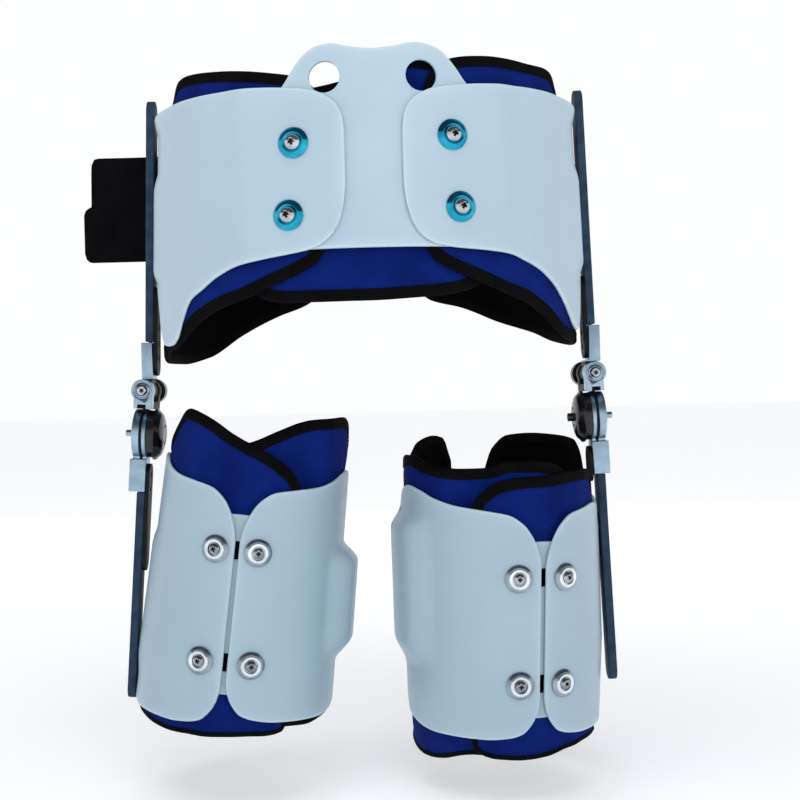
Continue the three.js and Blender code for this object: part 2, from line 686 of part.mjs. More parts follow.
  // Thigh bar below the block and its inner strip with holes
  const lowBar = flatBar(BAR_THICKNESS, BAR_WIDTH, -216, -47.4, []);
  const head = block([0, BAR_THICKNESS], [-BAR_WIDTH / 2, BAR_WIDTH / 2], [-66, -47.4]);
  const thighBar = fused(lowBar, head);
  thighBar.translate(leg.barSeat, 0, 0);
  thighPart.add(named(`thigh_bar_${name}`, mirrored(thighBar, side), finish(DARK, 0.45, 0.6)));
  const lowStrip = flatBar(STRIP_THICKNESS, BAR_WIDTH, leg.stripLow, -24.2, [-45, -33]);
  lowStrip.translate(-4.2 - STRIP_THICKNESS, 0, 0);
  thighPart.add(named(`thigh_strip_${name}`, mirrored(lowStrip, side), finish(DARK, 0.5, 0.5)));

  // Cuff frame: its axis stands inward of the bar and leans with the cuff
  const cuff = new THREE.Group();
  cuff.name = `cuff_${name}`;
  cuff.position.set(-side * leg.out, 0, -leg.drop);
  cuff.rotation.y = -side * radians(leg.lean);
  thighPart.add(cuff);
  const place = (angle, height, out) => {
    const point = thigh(leg, angle + leg.seam, height, leg.radius + out);
    point.x *= side;
    return point;
  };

  // Two half shells with raised edges, meeting at the seam
  for (const part of HALVES[name]) {
    const rows = SHELL_ROWS.map((row) => {
      const top = row.top - part.trim * ramp(row.angle, 45, 66);
      return { angle: row.angle, top, bottom: row.bottom - part.drop };
    });
    const shell = wall(rows, 9, 7, (angle, height, layer) => {
      const below = ramp(height, part.low - 12, part.low + 12);
      const panel = below * (1 - ramp(height, part.high - 8, part.high + 8));
      const out = CUFF_SHELL[layer] + part.bulge * panel * ramp(angle, 60, 80);
      return place(part.turn * (angle + SEAM_HALF), height, out);
    });
    cuff.add(named(`shell_${name}_${part.name}`, shell, finish(PLASTIC, 0.35, 0)));
  }

  // Backing strip behind the seam with two slots
  const stripRows = [
    { angle: -17, top: leg.snapHeight + 20.4, bottom: -60 },
    { angle: -13, top: leg.snapHeight + 26.4, bottom: -66 },
    { angle: 0, top: leg.snapHeight + 27.4, bottom: -67 },
    { angle: 13, top: leg.snapHeight + 26.4, bottom: -66 },
    { angle: 17, top: leg.snapHeight + 20.4, bottom: -60 },
  ];
  const backing = wall(stripRows, 6, 4, (angle, height, layer) =>
    place(angle, height, CUFF_STRIP[layer]));
  const slotTools = [-1, 1].map((end) => {
    const inner = place(0, end * leg.snapHeight, CUFF_STRIP[0] - 6);
    const outward = place(0, end * leg.snapHeight, CUFF_STRIP[1] + 6).sub(inner);
    const tool = block([-4, 4], [0, outward.length()], [-7, 7]);
    const heading = Math.atan2(-outward.x, outward.y);
    tool.rotateZ(heading);
    tool.translate(inner.x, inner.y, inner.z);
    return tool;
  });
  cuff.add(named(`backing_${name}`, cut(backing, ...slotTools), finish(0xa9bdc8, 0.4, 0)));

  // Padding: the outer flap laps over the inner one at the back
  const seat = (angle) => 2.4 * ramp(Math.abs(angle), 18, 30);
  const outerPad = wall(CUFF_PAD_ROWS[name].outer, 9, 6, (angle, height, layer) =>
    place(angle, height, CUFF_OUTER_PAD[layer] + seat(angle)));
  cuff.add(named(`pad_${name}_outer`, outerPad, finish(BLUE, 0.9, 0)));
  const innerPad = wall(CUFF_PAD_ROWS[name].inner, 12, 4, (angle, height, layer) => {
    const under = 5.7 * (1 - ramp(angle, 42, 60));
    return place(-angle, height, CUFF_OUTER_PAD[layer] + seat(angle) * ramp(angle, 42, 60) - under);
  });
  cuff.add(named(`pad_${name}_inner`, innerPad, finish(BLUE, 0.9, 0)));

  // Cup snaps beside the seam
  for (const turn of [1, -1]) {
    for (const end of [1, -1]) {
      const angle = turn * (SNAP_TURN + end * leg.snapSpread);
      const at = place(angle, end * leg.snapHeight, CUFF_SHELL[1] + GAP + 0.3);
      const outward = new THREE.Vector3(at.x, at.y, 0).normalize();
      const profile = [
        [0, 0],
        [SNAP_RADIUS, 0],
        [SNAP_RADIUS, 0.8],
        [7.4, 3.2],
        [4.6, 2.2],
        [4.6, 4.4],
        [0, 4.6],
      ];
      const label = `snap_${name}_${turn > 0 ? "outer" : "inner"}_${end > 0 ? "upper" : "lower"}`;
      cuff.add(named(label, seated(profile, 16, at, outward), finish(STEEL, 0.3, 0.9)));
    }
  }
}

export default brace;
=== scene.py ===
# %% [markdown]
# # Hip brace
# A hip brace has a plastic girdle round the pelvis, a hinge beside each hip and a cuff round each
# thigh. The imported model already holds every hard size, so this lesson only adds looks: rounded
# plastic panels, soft padding with sewn edges, and metal with real finishes.

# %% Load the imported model
import math
from bisect import bisect_left, bisect_right
from collections import namedtuple
from contextlib import contextmanager

import bmesh
import bpy
from mathutils import Matrix, Vector


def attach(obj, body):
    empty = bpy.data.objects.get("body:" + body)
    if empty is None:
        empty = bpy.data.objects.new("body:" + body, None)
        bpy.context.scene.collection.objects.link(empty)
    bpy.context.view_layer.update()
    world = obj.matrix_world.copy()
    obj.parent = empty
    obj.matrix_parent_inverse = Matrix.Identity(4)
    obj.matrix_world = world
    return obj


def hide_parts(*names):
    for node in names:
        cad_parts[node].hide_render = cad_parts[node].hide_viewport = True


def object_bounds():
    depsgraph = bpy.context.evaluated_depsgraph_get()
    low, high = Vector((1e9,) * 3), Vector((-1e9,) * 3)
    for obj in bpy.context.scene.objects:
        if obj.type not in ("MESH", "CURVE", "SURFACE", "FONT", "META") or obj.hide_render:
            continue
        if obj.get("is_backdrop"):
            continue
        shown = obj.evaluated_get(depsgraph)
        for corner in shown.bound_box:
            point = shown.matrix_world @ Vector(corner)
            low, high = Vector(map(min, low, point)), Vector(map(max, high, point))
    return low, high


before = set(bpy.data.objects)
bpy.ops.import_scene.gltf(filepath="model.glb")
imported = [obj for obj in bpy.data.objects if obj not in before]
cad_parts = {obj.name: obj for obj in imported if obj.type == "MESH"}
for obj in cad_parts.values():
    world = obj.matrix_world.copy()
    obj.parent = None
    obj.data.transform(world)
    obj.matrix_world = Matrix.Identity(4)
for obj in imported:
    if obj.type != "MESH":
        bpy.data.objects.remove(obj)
cad_low, cad_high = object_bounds()
MM = 0.001
print("packed nodes", len(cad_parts))

# %% [markdown]
# ## Camera
# The brace is seen from behind, level with the hinges. A camera turned by a small roll and shifted a
# little sideways gives the same picture edge as a plain snapshot, and keeps upright bars upright.

# %% Camera
CAMERA_PLACE = Vector((0, -1.0, -0.165))
CAMERA_ROLL = math.radians(-1.5)
PIXELS_PER_METRE = 1000 / 0.82
IMAGE_SIDE = 800

camera_data = bpy.data.cameras.new("camera")
camera_data.sensor_width = 36
camera_data.lens = PIXELS_PER_METRE * camera_data.sensor_width / IMAGE_SIDE
camera_data.shift_x = 0.035
camera = bpy.data.objects.new("camera", camera_data)
upright = Matrix.Rotation(math.radians(90), 4, "X") @ Matrix.Rotation(CAMERA_ROLL, 4, "Z")
camera.matrix_world = Matrix.Translation(CAMERA_PLACE) @ upright
bpy.context.collection.objects.link(camera)
bpy.context.scene.camera = camera
print("lens", round(camera_data.lens, 2))

# %% [markdown]
# ## Node helpers
# The sky and every finish below are made of a few texture nodes. Small helpers keep each recipe
# readable: they start a finish, add a node, feed a socket, blend two colours and raise bumps.

# %% Node helpers
def new_finish(name, colour, roughness, metallic=0.0, **extra):
    made = bpy.data.materials.new(name)
    made.use_nodes = True
    made.diffuse_color = (*colour, 1)
    shader = made.node_tree.nodes["Principled BSDF"]
    shader.inputs["Base Color"].default_value = (*colour, 1)
    shader.inputs["Roughness"].default_value = roughness
    shader.inputs["Metallic"].default_value = metallic
    for socket, value in extra.items():
        shader.inputs[socket.replace("_", " ")].default_value = value
    return made


def add(finish, kind, sockets=None, **settings):
    made = finish.node_tree.nodes.new(kind)
    for key, value in settings.items():
        setattr(made, key, value)
    for key, value in (sockets or {}).items():
        if isinstance(value, bpy.types.NodeSocket):
            finish.node_tree.links.new(value, made.inputs[key])
        else:
            made.inputs[key].default_value = value
    return made


def feed(finish, socket, value):
    shader = finish.node_tree.nodes["Principled BSDF"]
    finish.node_tree.links.new(value, shader.inputs[socket])


def bumps(finish, height, strength, depth):
    sockets = {"Strength": strength, "Distance": depth * MM, "Height": height}
    feed(finish, "Normal", add(finish, "ShaderNodeBump", sockets).outputs["Normal"])


def colour_between(finish, amount, low, high, start=0.0, end=1.0):
    ramp = add(finish, "ShaderNodeValToRGB", {"Fac": amount})
    for stop, position, colour in zip(ramp.color_ramp.elements, (start, end), (low, high)):
        stop.position, stop.color = position, (*colour, 1)
    return ramp.outputs["Color"]


def range_of(finish, amount, low, high):
    limits = {"Value": amount, "To Min": low, "To Max": high}
    return add(finish, "ShaderNodeMapRange", limits).outputs["Result"]


def coordinates(finish, output, stretch=(1, 1, 1)):
    source = add(finish, "ShaderNodeTexCoord")
    mapped = add(finish, "ShaderNodeMapping", {"Vector": source.outputs[output], "Scale": stretch})
    return mapped.outputs["Vector"]


def noise(finish, where, scale, detail):
    sockets = {"Vector": where, "Scale": scale, "Detail": detail}
    return add(finish, "ShaderNodeTexNoise", sockets).outputs["Fac"]


print("node helpers ready")

# %% [markdown]
# ## Floor and light
# The room is white at eye level and dark overhead. A colour ramp along the world's height gives that,
# so polished metal shows a bright lower half and a dark upper half. Large soft lamps light the
# plastic and cloth; they are hidden from mirror rays, so they add no spots to the metal. The floor
# glows more with distance, so its far edge melts into the room.

# %% Floor and light
HORIZON, ZENITH, SKY_FADE = (0.99, 0.995, 1.0), (0.1, 0.11, 0.13), (0.32, 0.42)
LAMP_AIM = Vector((0, 0, -0.15))
Lamp = namedtuple("Lamp", "name place size power")
LAMPS = [Lamp("overhead", (-0.3, -0.6, 1.6), 1.6, 16), Lamp("behind_camera", (0.5, -1.7, 0.6), 1.2, 8),
         Lamp("front_fill", (0.2, 1.7, 0.9), 1.6, 8)]

bpy.context.scene.view_settings.view_transform = "Standard"
world = bpy.data.worlds.new("sky")
bpy.context.scene.world = world
world.use_nodes = True
direction = add(world, "ShaderNodeTexCoord").outputs["Generated"]
height = add(world, "ShaderNodeSeparateXYZ", {"Vector": direction}).outputs["Z"]
fall_off = colour_between(world, height, HORIZON, ZENITH, *SKY_FADE)
background = world.node_tree.nodes["Background"]
world.node_tree.links.new(fall_off, background.inputs["Color"])
background.inputs["Strength"].default_value = 1.0

for lamp in LAMPS:
    data = bpy.data.lights.new(lamp.name, "AREA")
    data.size, data.energy = lamp.size, lamp.power
    made = bpy.data.objects.new(lamp.name, data)
    made.location = lamp.place
    made.rotation_mode = "QUATERNION"
    made.rotation_quaternion = (LAMP_AIM - Vector(lamp.place)).to_track_quat("-Z", "Y")
    made.visible_glossy = False
    bpy.context.collection.objects.link(made)

FLOOR_LEVEL, FLOOR_HALF = cad_low.z - 0.03, 30
floor_mesh = bpy.data.meshes.new("floor")
corners = [(x * FLOOR_HALF, y * FLOOR_HALF, 0) for x, y in ((-1, -1), (1, -1), (1, 1), (-1, 1))]
floor_mesh.from_pydata(corners, [], [(0, 1, 2, 3)])
floor = bpy.data.objects.new("floor", floor_mesh)
floor.location.z = FLOOR_LEVEL
bpy.context.collection.objects.link(floor)
floor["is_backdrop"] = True

GLOW = {"From Min": 0.4, "From Max": 2.2, "To Min": 0.38, "To Max": 0.7}
paint = new_finish("floor_paint", (0.93, 0.95, 0.97), 0.9, Emission_Color=(1, 1, 1, 1))
grain = add(paint, "ShaderNodeTexNoise", {"Scale": 3.0}).outputs["Fac"]
spot = add(paint, "ShaderNodeVectorMath", {0: coordinates(paint, "Object")}, operation="LENGTH")
glow = add(paint, "ShaderNodeMapRange", {"Value": spot.outputs["Value"], **GLOW})
feed(paint, "Emission Strength", glow.outputs["Result"])
feed(paint, "Base Color", colour_between(paint, grain, (0.9, 0.92, 0.94), (0.95, 0.96, 0.98)))
floor_mesh.materials.append(paint)
print("floor at", round(FLOOR_LEVEL, 3))

# %% [markdown]
# ## Finishes of the plastic
# The panels are vacuum-formed sheet, a pale ice blue with a satin skin. Such sheet is never quite
# even: it clouds a little, its skin is faintly pebbled, and the trimmed edge is paler and duller.
# The edge is stored on the mesh as an attribute, so the shader can find it without any picture.

# %% Plastic finishes
def plastic_finish(name, pale, deep, edge_colour):
    made = new_finish(name, pale, 0.38, Coat_Weight=0.12, Coat_Roughness=0.35)
    where = coordinates(made, "Object")
    cloud = noise(made, where, 14.0, 3.0)
    pebble = noise(made, where, 900.0, 1.0)
    scuff = noise(made, coordinates(made, "Object", (60, 60, 900)), 1.0, 2.0)
    body = colour_between(made, cloud, deep, pale, 0.3, 0.7)
    rim = add(made, "ShaderNodeAttribute", attribute_name="edge").outputs["Fac"]
    mix = {"Factor": rim, 6: body, 7: (*edge_colour, 1)}
    feed(made, "Base Color", add(made, "ShaderNodeMix", mix, data_type="RGBA").outputs[2])
    feed(made, "Roughness", range_of(made, scuff, 0.28, 0.5))
    bumps(made, pebble, 0.12, 0.15)
    return made


SHELL = plastic_finish("shell_plastic", (0.44, 0.58, 0.676), (0.415, 0.55, 0.647), (0.53, 0.67, 0.745))
# The cuff finish is the shell plastic painted darker: painted shade on the cuffs.
CUFF_PLASTIC_PAINTED_SHADE = plastic_finish("cuff_plastic_painted_shade", (0.372, 0.505, 0.594), (0.348, 0.48, 0.564),
                              (0.46, 0.6, 0.675))
BACKING = plastic_finish("backing_plastic", (0.33, 0.45, 0.52), (0.3, 0.42, 0.49), (0.4, 0.5, 0.56))
print("plastic finishes", SHELL.name, CUFF_PLASTIC_PAINTED_SHADE.name, BACKING.name)

# %% [markdown]
# ## Finishes of the cloth
# The padding is foam with a knitted face: royal blue outside and black inside, with black tape sewn
# round the edge. Two crossed waves make the loops of the knit. They run along the mesh's own
# lengths, in metres, so the loops keep one size on every pad.

# %% Cloth finishes
WAVE_UNIT = 0.31416


def wave(finish, where, period_mm, way):
    sockets = {"Vector": where, "Scale": WAVE_UNIT / (period_mm * MM), "Distortion": 0.6, "Detail": 1.0}
    return add(finish, "ShaderNodeTexWave", sockets, bands_direction=way).outputs["Fac"]


def knit_finish(name, dark, light, across, along, shine, depth):
    made = new_finish(name, light, 0.85, Specular_IOR_Level=shine)
    where = coordinates(made, "UV")
    crossed = {0: wave(made, where, across, "X"), 1: wave(made, where, along, "Y")}
    loops = add(made, "ShaderNodeMath", crossed, operation="MULTIPLY").outputs["Value"]
    patch = noise(made, where, 35.0, 4.0)
    mixed = add(made, "ShaderNodeMath", {0: loops, 1: 0.45, 2: patch}, operation="MULTIPLY_ADD")
    feed(made, "Base Color", colour_between(made, mixed.outputs["Value"], dark, light, 0.3, 0.95))
    feed(made, "Roughness", range_of(made, loops, 0.95, 0.75))
    bumps(made, loops, 0.5, depth)
    return made


BLUE_KNIT = knit_finish("blue_knit", (0.0015, 0.008, 0.09), (0.003, 0.019, 0.19), 1.3, 1.0, 0.08, 0.25)
BLACK_KNIT = knit_finish("black_knit", (0.0008, 0.0008, 0.001), (0.003, 0.003, 0.004),
                         1.3, 1.0, 0.05, 0.25)
TAPE = knit_finish("edge_tape", (0.001, 0.001, 0.0013), (0.004, 0.004, 0.005), 0.8, 2.2, 0.08, 0.3)
WEBBING = knit_finish("belt_webbing", (0.0012, 0.0012, 0.0015), (0.005, 0.005, 0.006),
                      2.4, 1.6, 0.08, 0.5)
THREAD = knit_finish("black_thread", (0.001, 0.001, 0.0013), (0.008, 0.008, 0.009), 0.6, 0.6, 0.1, 0.1)
print("cloth finishes", BLUE_KNIT.name, BLACK_KNIT.name, TAPE.name, WEBBING.name, THREAD.name)

# %% [markdown]
# ## Finishes of the metal
# The hinge castings are satin silver, the washers turquoise, and the bars a dark blue grey that is
# not metallic to the shader. Metal shows its making in fine lines: stretched noise gives
# brushed bars, and noise along the profile of a turned piece gives the rings that a lathe leaves.

# %% Metal finishes
def metal_finish(name, dark, light, rough, stretch, source="Object", **extra):
    made = new_finish(name, light, rough[1], **{"metallic": 1.0, **extra})
    line = noise(made, coordinates(made, source, stretch), 1.0, 3.0)
    stain = noise(made, coordinates(made, "Object"), 90.0, 4.0)
    feed(made, "Base Color", colour_between(made, stain, dark, light, 0.35, 0.65))
    feed(made, "Roughness", range_of(made, line, *rough))
    bumps(made, line, 0.25, 0.04)
    return made


def lathe_finish(name, dark, light, *rough):
    return metal_finish(name, dark, light, rough, (2, 4000, 1), "UV")


CAST, BRUSHED = (120, 1500, 1500), (900, 900, 40)
SILVER = metal_finish("hinge_silver", (0.285, 0.405, 0.515), (0.395, 0.53, 0.65), (0.26, 0.44), CAST)
BAR = metal_finish("bar_blue_grey", (0.018, 0.037, 0.066), (0.032, 0.06, 0.1), (0.45, 0.65), BRUSHED,
                   metallic=0, Specular_IOR_Level=0.08)
# The black strip finish also serves as painted shade on the hip pivots, behind the bright rear ear.
STRIP = metal_finish("strip_black", (0.003, 0.003, 0.004), (0.009, 0.009, 0.011), (0.4, 0.6), BRUSHED,
                     metallic=0, Specular_IOR_Level=0.15)
TURQUOISE = lathe_finish("washer_turquoise", (0.012, 0.24, 0.39), (0.03, 0.44, 0.62), 0.1, 0.24)
CHROME = lathe_finish("screw_chrome", (0.38, 0.41, 0.44), (0.7, 0.72, 0.74), 0.05, 0.14)
SNAP = lathe_finish("snap_nickel", (0.62, 0.69, 0.73), (0.84, 0.9, 0.93), 0.1, 0.24)
# The outer cone of each snap takes a darker copy of the nickel: painted shade on the cone.
SNAP_EDGE_PAINTED_SHADE = lathe_finish("snap_edge_painted_shade", (0.26, 0.31, 0.35), (0.42, 0.48, 0.53), 0.2, 0.4)
SNAP_CENTRE = lathe_finish("snap_centre", (0.16, 0.165, 0.18), (0.5, 0.52, 0.55), 0.05, 0.14)
DARK_STEEL = lathe_finish("dark_steel", (0.02, 0.021, 0.023), (0.06, 0.062, 0.066), 0.25, 0.45)
print("metal finishes", SILVER.name, BAR.name, TURQUOISE.name, SNAP.name)

# %% [markdown]
# The round cover of each hinge is glossy black moulded plastic with a faint spark texture, the sort
# that comes from an etched mould. A small voronoi pattern makes its pits.

# %% Moulded cover finish
COVER = new_finish("cover_black", (0.006, 0.006, 0.007), 0.2)
pit_at = coordinates(COVER, "Object")
pits = add(COVER, "ShaderNodeTexVoronoi", {"Vector": pit_at, "Scale": 1400.0})
haze = noise(COVER, pit_at, 120.0, 3.0)
feed(COVER, "Base Color", colour_between(COVER, haze, (0.003, 0.003, 0.004), (0.009, 0.009, 0.01)))
feed(COVER, "Roughness", range_of(COVER, haze, 0.1, 0.3))
bumps(COVER, pits.outputs["Distance"], 0.2, 0.1)
print("cover finish", COVER.name)

# %% [markdown]
# ## Curved panels
# Plastic and padding are both thin walls bent round a body. A wall is described by two outlines, its
# top and its bottom, read from a short table of rows. A smooth curve runs between the rows without
# swinging past them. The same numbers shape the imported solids, so each piece lands on its own node.

# %% Outlines
Row = namedtuple("Row", "at top bottom")
SLOPE_SHARE = 0.45


def rows_of(*triples):
    return [Row(*triple) for triple in triples]


def outline(rows, column, at):
    last = len(rows) - 1
    places = [row.at for row in rows]
    levels = [getattr(row, column) for row in rows]
    at = min(max(at, places[0]), places[last])
    i = min(max(bisect_left(places, at) - 1, 0), last - 1)

    def chord(k):
        return (levels[k + 1] - levels[k]) / (places[k + 1] - places[k])

    def tangent(k):
        if k == 0 or k == last:
            return chord(min(k, last - 1))
        a, b = chord(k - 1), chord(k)
        return 0 if a * b <= 0 else 2 * a * b / (a + b)

    width = places[i + 1] - places[i]
    t = (at - places[i]) / width
    s = t * t * (3 - 2 * t)
    level = levels[i] * (1 - s) + levels[i + 1] * s
    return level + width * (tangent(i) * t * (1 - t) ** 2 - tangent(i + 1) * t * t * (1 - t))


def ease(value, low, high):
    t = min(max((value - low) / (high - low), 0), 1)
    return t * t * (3 - 2 * t)


def runs(points):
    lengths = [0.0]
    for a, b in zip(points, points[1:]):
        lengths.append(lengths[-1] + (Vector(b) - Vector(a)).length)
    return lengths


def stations(rows, unit_mm, spacing):
    places = []
    for a, b in zip(rows, rows[1:]):
        climb = max(abs(b.top - a.top), abs(b.bottom - a.bottom))
        run = max((b.at - a.at) * unit_mm, SLOPE_SHARE * climb)
        count = max(1, round(run / spacing))
        places += [a.at + (b.at - a.at) * k / count for k in range(count)]
    return places + [rows[-1].at]


print("outline helpers ready")

# %% [markdown]
# A grid of points on the middle of the wall is the pattern for everything that follows. For each
# point we keep its normal, its place on the flat cloth in metres, and how far it lies from the edge.
# Round the rim we also keep the direction that leads off the sheet, which the edge tape needs.

# %% Pattern of a panel
Pattern = namedtuple("Pattern", "points normals flat inset rim away")


def make_pattern(rows, place, unit_mm, spacing):
    across = stations(rows, unit_mm, spacing)
    tall = max(r.top - r.bottom for r in rows)
    levels = max(4, round(tall / spacing))
    points, inset, heights = [], [], []
    for at in across:
        top, bottom = outline(rows, "top", at), outline(rows, "bottom", at)
        column = [bottom + (top - bottom) * j / levels for j in range(levels + 1)]
        heights.append(column)
        points.append([place(at, h, 0) for h in column])
        ends = min(at - across[0], across[-1] - at) * unit_mm
        inset.append([min(h - bottom, top - h, ends) for h in column])
    n, m = len(across) - 1, levels
    normals = []
    for i in range(n + 1):
        normals.append([])
        for j in range(m + 1):
            side = points[min(i + 1, n)][j] - points[max(i - 1, 0)][j]
            up = points[i][min(j + 1, m)] - points[i][max(j - 1, 0)]
            normal = side.cross(up).normalized()
            outward = place(across[i], heights[i][j], 1) - points[i][j]
            normals[i].append(normal if normal.dot(outward) > 0 else -normal)
    run = runs([column[m // 2] for column in points])
    flat = [[(run[i] * MM, h * MM) for h in heights[i]] for i in range(n + 1)]
    rim = [(i, 0) for i in range(n)] + [(n, j) for j in range(m)]
    rim += [(i, m) for i in range(n, 0, -1)] + [(0, j) for j in range(m, 0, -1)]
    away = []
    for k, (i, j) in enumerate(rim):
        a, b = rim[k - 1], rim[(k + 1) % len(rim)]
        along = (points[b[0]][b[1]] - points[a[0]][a[1]]).normalized()
        off = along.cross(normals[i][j]).normalized()
        inner = points[min(max(i, 1), n - 1)][min(max(j, 1), m - 1)]
        away.append(off if off.dot(points[i][j] - inner) > 0 else -off)
    return Pattern(points, normals, flat, inset, rim, away)


print("panel pattern ready")

# %% [markdown]
# A few helpers turn points into objects. One joins rings of points with faces, one makes a smooth
# mesh with its flat coordinates, and one says which body a finished piece rides on.

# %% Mesh helpers
def ring_faces(rings, count, loop=False):
    faces = []
    for k in range(rings if loop else rings - 1):
        a, b = k * count, (k + 1) % rings * count
        for f in range(count):
            t = (f + 1) % count
            faces.append([a + f, a + t, b + t, b + f])
    return faces


def show(name, vertices, faces, finishes, smooth=40, flat=None):
    mesh = bpy.data.meshes.new(name)
    mesh.from_pydata([v * MM for v in vertices], [], faces)
    for finish in finishes:
        mesh.materials.append(finish)
    mesh.shade_smooth()
    mesh.set_sharp_from_angle(angle=math.radians(smooth))
    if flat:
        layer = mesh.uv_layers.new(name="flat")
        for loop in mesh.loops:
            layer.data[loop.index].uv = flat[loop.vertex_index]
    made = bpy.data.objects.new(name, mesh)
    bpy.context.collection.objects.link(made)
    return made


@contextmanager
def editing(mesh):
    body = bmesh.new()
    body.from_mesh(mesh)
    yield body
    body.to_mesh(mesh)
    body.free()


def fit(piece, body, node=None):
    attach(piece, body)
    if node:
        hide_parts(node)


print("mesh helpers ready")

# %% [markdown]
# From the pattern we build a closed wall: a front, a back, and a half-round rim between them. Making
# the rim by hand, instead of with a bevel, keeps it the same width everywhere, even at tight corners.
# An attribute called edge fades from the rim inward, for the shader to read.

# %% Wall from a pattern
RIM_STEPS = 4


def make_wall(name, pattern, half_thickness, finishes, choose=None, edge_width=2.5):
    points, normals = pattern.points, pattern.normals
    n, m = len(points) - 1, len(points[0]) - 1
    rim_place = {ij: k for k, ij in enumerate(pattern.rim)}
    vertices, flat, edge = [], [], []
    for sign in (1, -1):
        for i in range(n + 1):
            for j in range(m + 1):
                half = half_thickness(pattern.inset[i][j])
                vertices.append(points[i][j] + normals[i][j] * half * sign)
                if (i, j) in rim_place:
                    vertices[-1] -= pattern.away[rim_place[(i, j)]] * half
                flat.append(pattern.flat[i][j])
                edge.append(math.exp(-pattern.inset[i][j] / edge_width))
    faces, kinds = [], []
    size = (n + 1) * (m + 1)

    def spot(side, i, j):
        return side * size + i * (m + 1) + j

    across, up = points[1][0] - points[0][0], points[0][1] - points[0][0]
    facing = normals[0][0].dot(across.cross(up)) > 0
    for side in (0, 1):
        for i in range(n):
            for j in range(m):
                quad = [spot(side, i + a, j + b) for a, b in ((0, 0), (1, 0), (1, 1), (0, 1))]
                faces.append(quad if facing == (side == 0) else quad[::-1])
                kinds.append(choose(side, i, j) if choose else 0)
    rings = [[spot(0, i, j) for i, j in pattern.rim]]
    for step in range(1, RIM_STEPS):
        turn = math.pi / 2 - math.pi * step / RIM_STEPS
        ring = []
        for k, (i, j) in enumerate(pattern.rim):
            half = half_thickness(pattern.inset[i][j])
            lift = normals[i][j] * math.sin(turn) + pattern.away[k] * (math.cos(turn) - 1)
            ring.append(len(vertices))
            vertices.append(points[i][j] + lift * half)
            flat.append(pattern.flat[i][j])
            edge.append(1.0)
        rings.append(ring)
    rings.append([spot(1, i, j) for i, j in pattern.rim])
    count = len(pattern.rim)
    for a, b in zip(rings, rings[1:]):
        for k in range(count):
            quad = [a[k], b[k], b[(k + 1) % count], a[(k + 1) % count]]
            faces.append(quad if facing else quad[::-1])
            kinds.append(len(finishes) - 1 if choose else 0)
    made = show(name, vertices, faces, finishes, flat=flat)
    made.data.polygons.foreach_set("material_index", kinds)
    shade = made.data.attributes.new("edge", "FLOAT", "POINT")
    shade.data.foreach_set("value", edge)
    return made


def make_panel(node, body, rows, place, unit_mm, finish, spacing=2.4, half=1.5):
    pattern = make_pattern(rows, place, unit_mm, spacing)
    panel = make_wall(f"{node}_panel", pattern, lambda inset: half, [finish])
    fit(panel, body, node)
    return panel


print("wall builder ready")

# %% [markdown]
# ## Where the girdle sits
# The girdle follows an ellipse that narrows a little upward, like a waist over hips. One function
# turns an angle, a height and a distance outward into a point. Angle 0 is the middle of the back.

# %% Girdle surface
PELVIS_HALF_WIDTH, PELVIS_HALF_DEPTH, PELVIS_FLARE = 154.4, 108, 0.00018
BACK_TURN = 2
GIRDLE_UNIT = 2.5


def pelvis(angle, height, out):
    grow = 1 - PELVIS_FLARE * height
    a = math.radians(angle)
    x = (PELVIS_HALF_WIDTH + out) * grow * math.sin(a)
    return Vector((x, -(PELVIS_HALF_DEPTH + out) * grow * math.cos(a), height))


def around(side, angle):
    return side * angle + BACK_TURN * (1 - ease(abs(angle), 30, 64))


SIDES = {"left": -1, "right": 1}
print("girdle half width", PELVIS_HALF_WIDTH, "mm")

# %% [markdown]
# ## Back plate
# The plate in the middle of the back has two rounded lobes, each with a lacing hole. The wall comes
# from its outline, and two cylinders cut the holes with a boolean.

# %% Back plate
PLATE = (10.6, 13.6)
HOLE_RADIUS, HOLE_HEIGHT, HOLE_ANGLES = 11.5, 69.5, (-12, 12.6)
RIGHT_STRETCH = 1.08
plate_half = rows_of((-27, 40, -40), (-25, 58, -50), (-22.5, 68, -54), (-20, 78.5, -55), (-17, 88, -55),
                     (-14, 92.5, -55), (-10.5, 94, -55), (-5, 91, -55), (0, 89.5, -55))
plate_rows = plate_half + [Row(-r.at * RIGHT_STRETCH, r.top, r.bottom) for r in plate_half[-2::-1]]


def turned(name, profile, segments, at, axis, finishes, smooth=35):
    pose = Vector((0, 0, 1)).rotation_difference(axis).to_matrix()
    vertices, flat = [], []
    for (radius, height), run in zip(profile, runs(profile)):
        for s in range(segments):
            a = 2 * math.pi * s / segments
            vertices.append(pose @ Vector((radius * math.cos(a), radius * math.sin(a), height)) + at)
            flat.append((s / segments, run * MM))
    made = show(name, vertices, ring_faces(len(profile), segments), finishes, smooth, flat)
    with editing(made.data) as body:
        bmesh.ops.remove_doubles(body, verts=body.verts, dist=0.01 * MM)
        bmesh.ops.recalc_face_normals(body, faces=body.faces)
    return made


def cut_away(piece, *tools):
    for tool in tools:
        cut = piece.modifiers.new("cut", "BOOLEAN")
        cut.object = tool
        cut.solver = "EXACT"
        cut.material_mode = "TRANSFER"
    view = bpy.context.evaluated_depsgraph_get()
    result = bpy.data.meshes.new_from_object(piece.evaluated_get(view))
    piece.modifiers.clear()
    piece.data = result
    for tool in tools:
        bpy.data.objects.remove(tool)


DRILL = [(0, 0), (HOLE_RADIUS, 0), (HOLE_RADIUS, 16), (0, 16)]


def plate_place(at, h, out):
    return pelvis(at + BACK_TURN, h, sum(PLATE) / 2 + out)


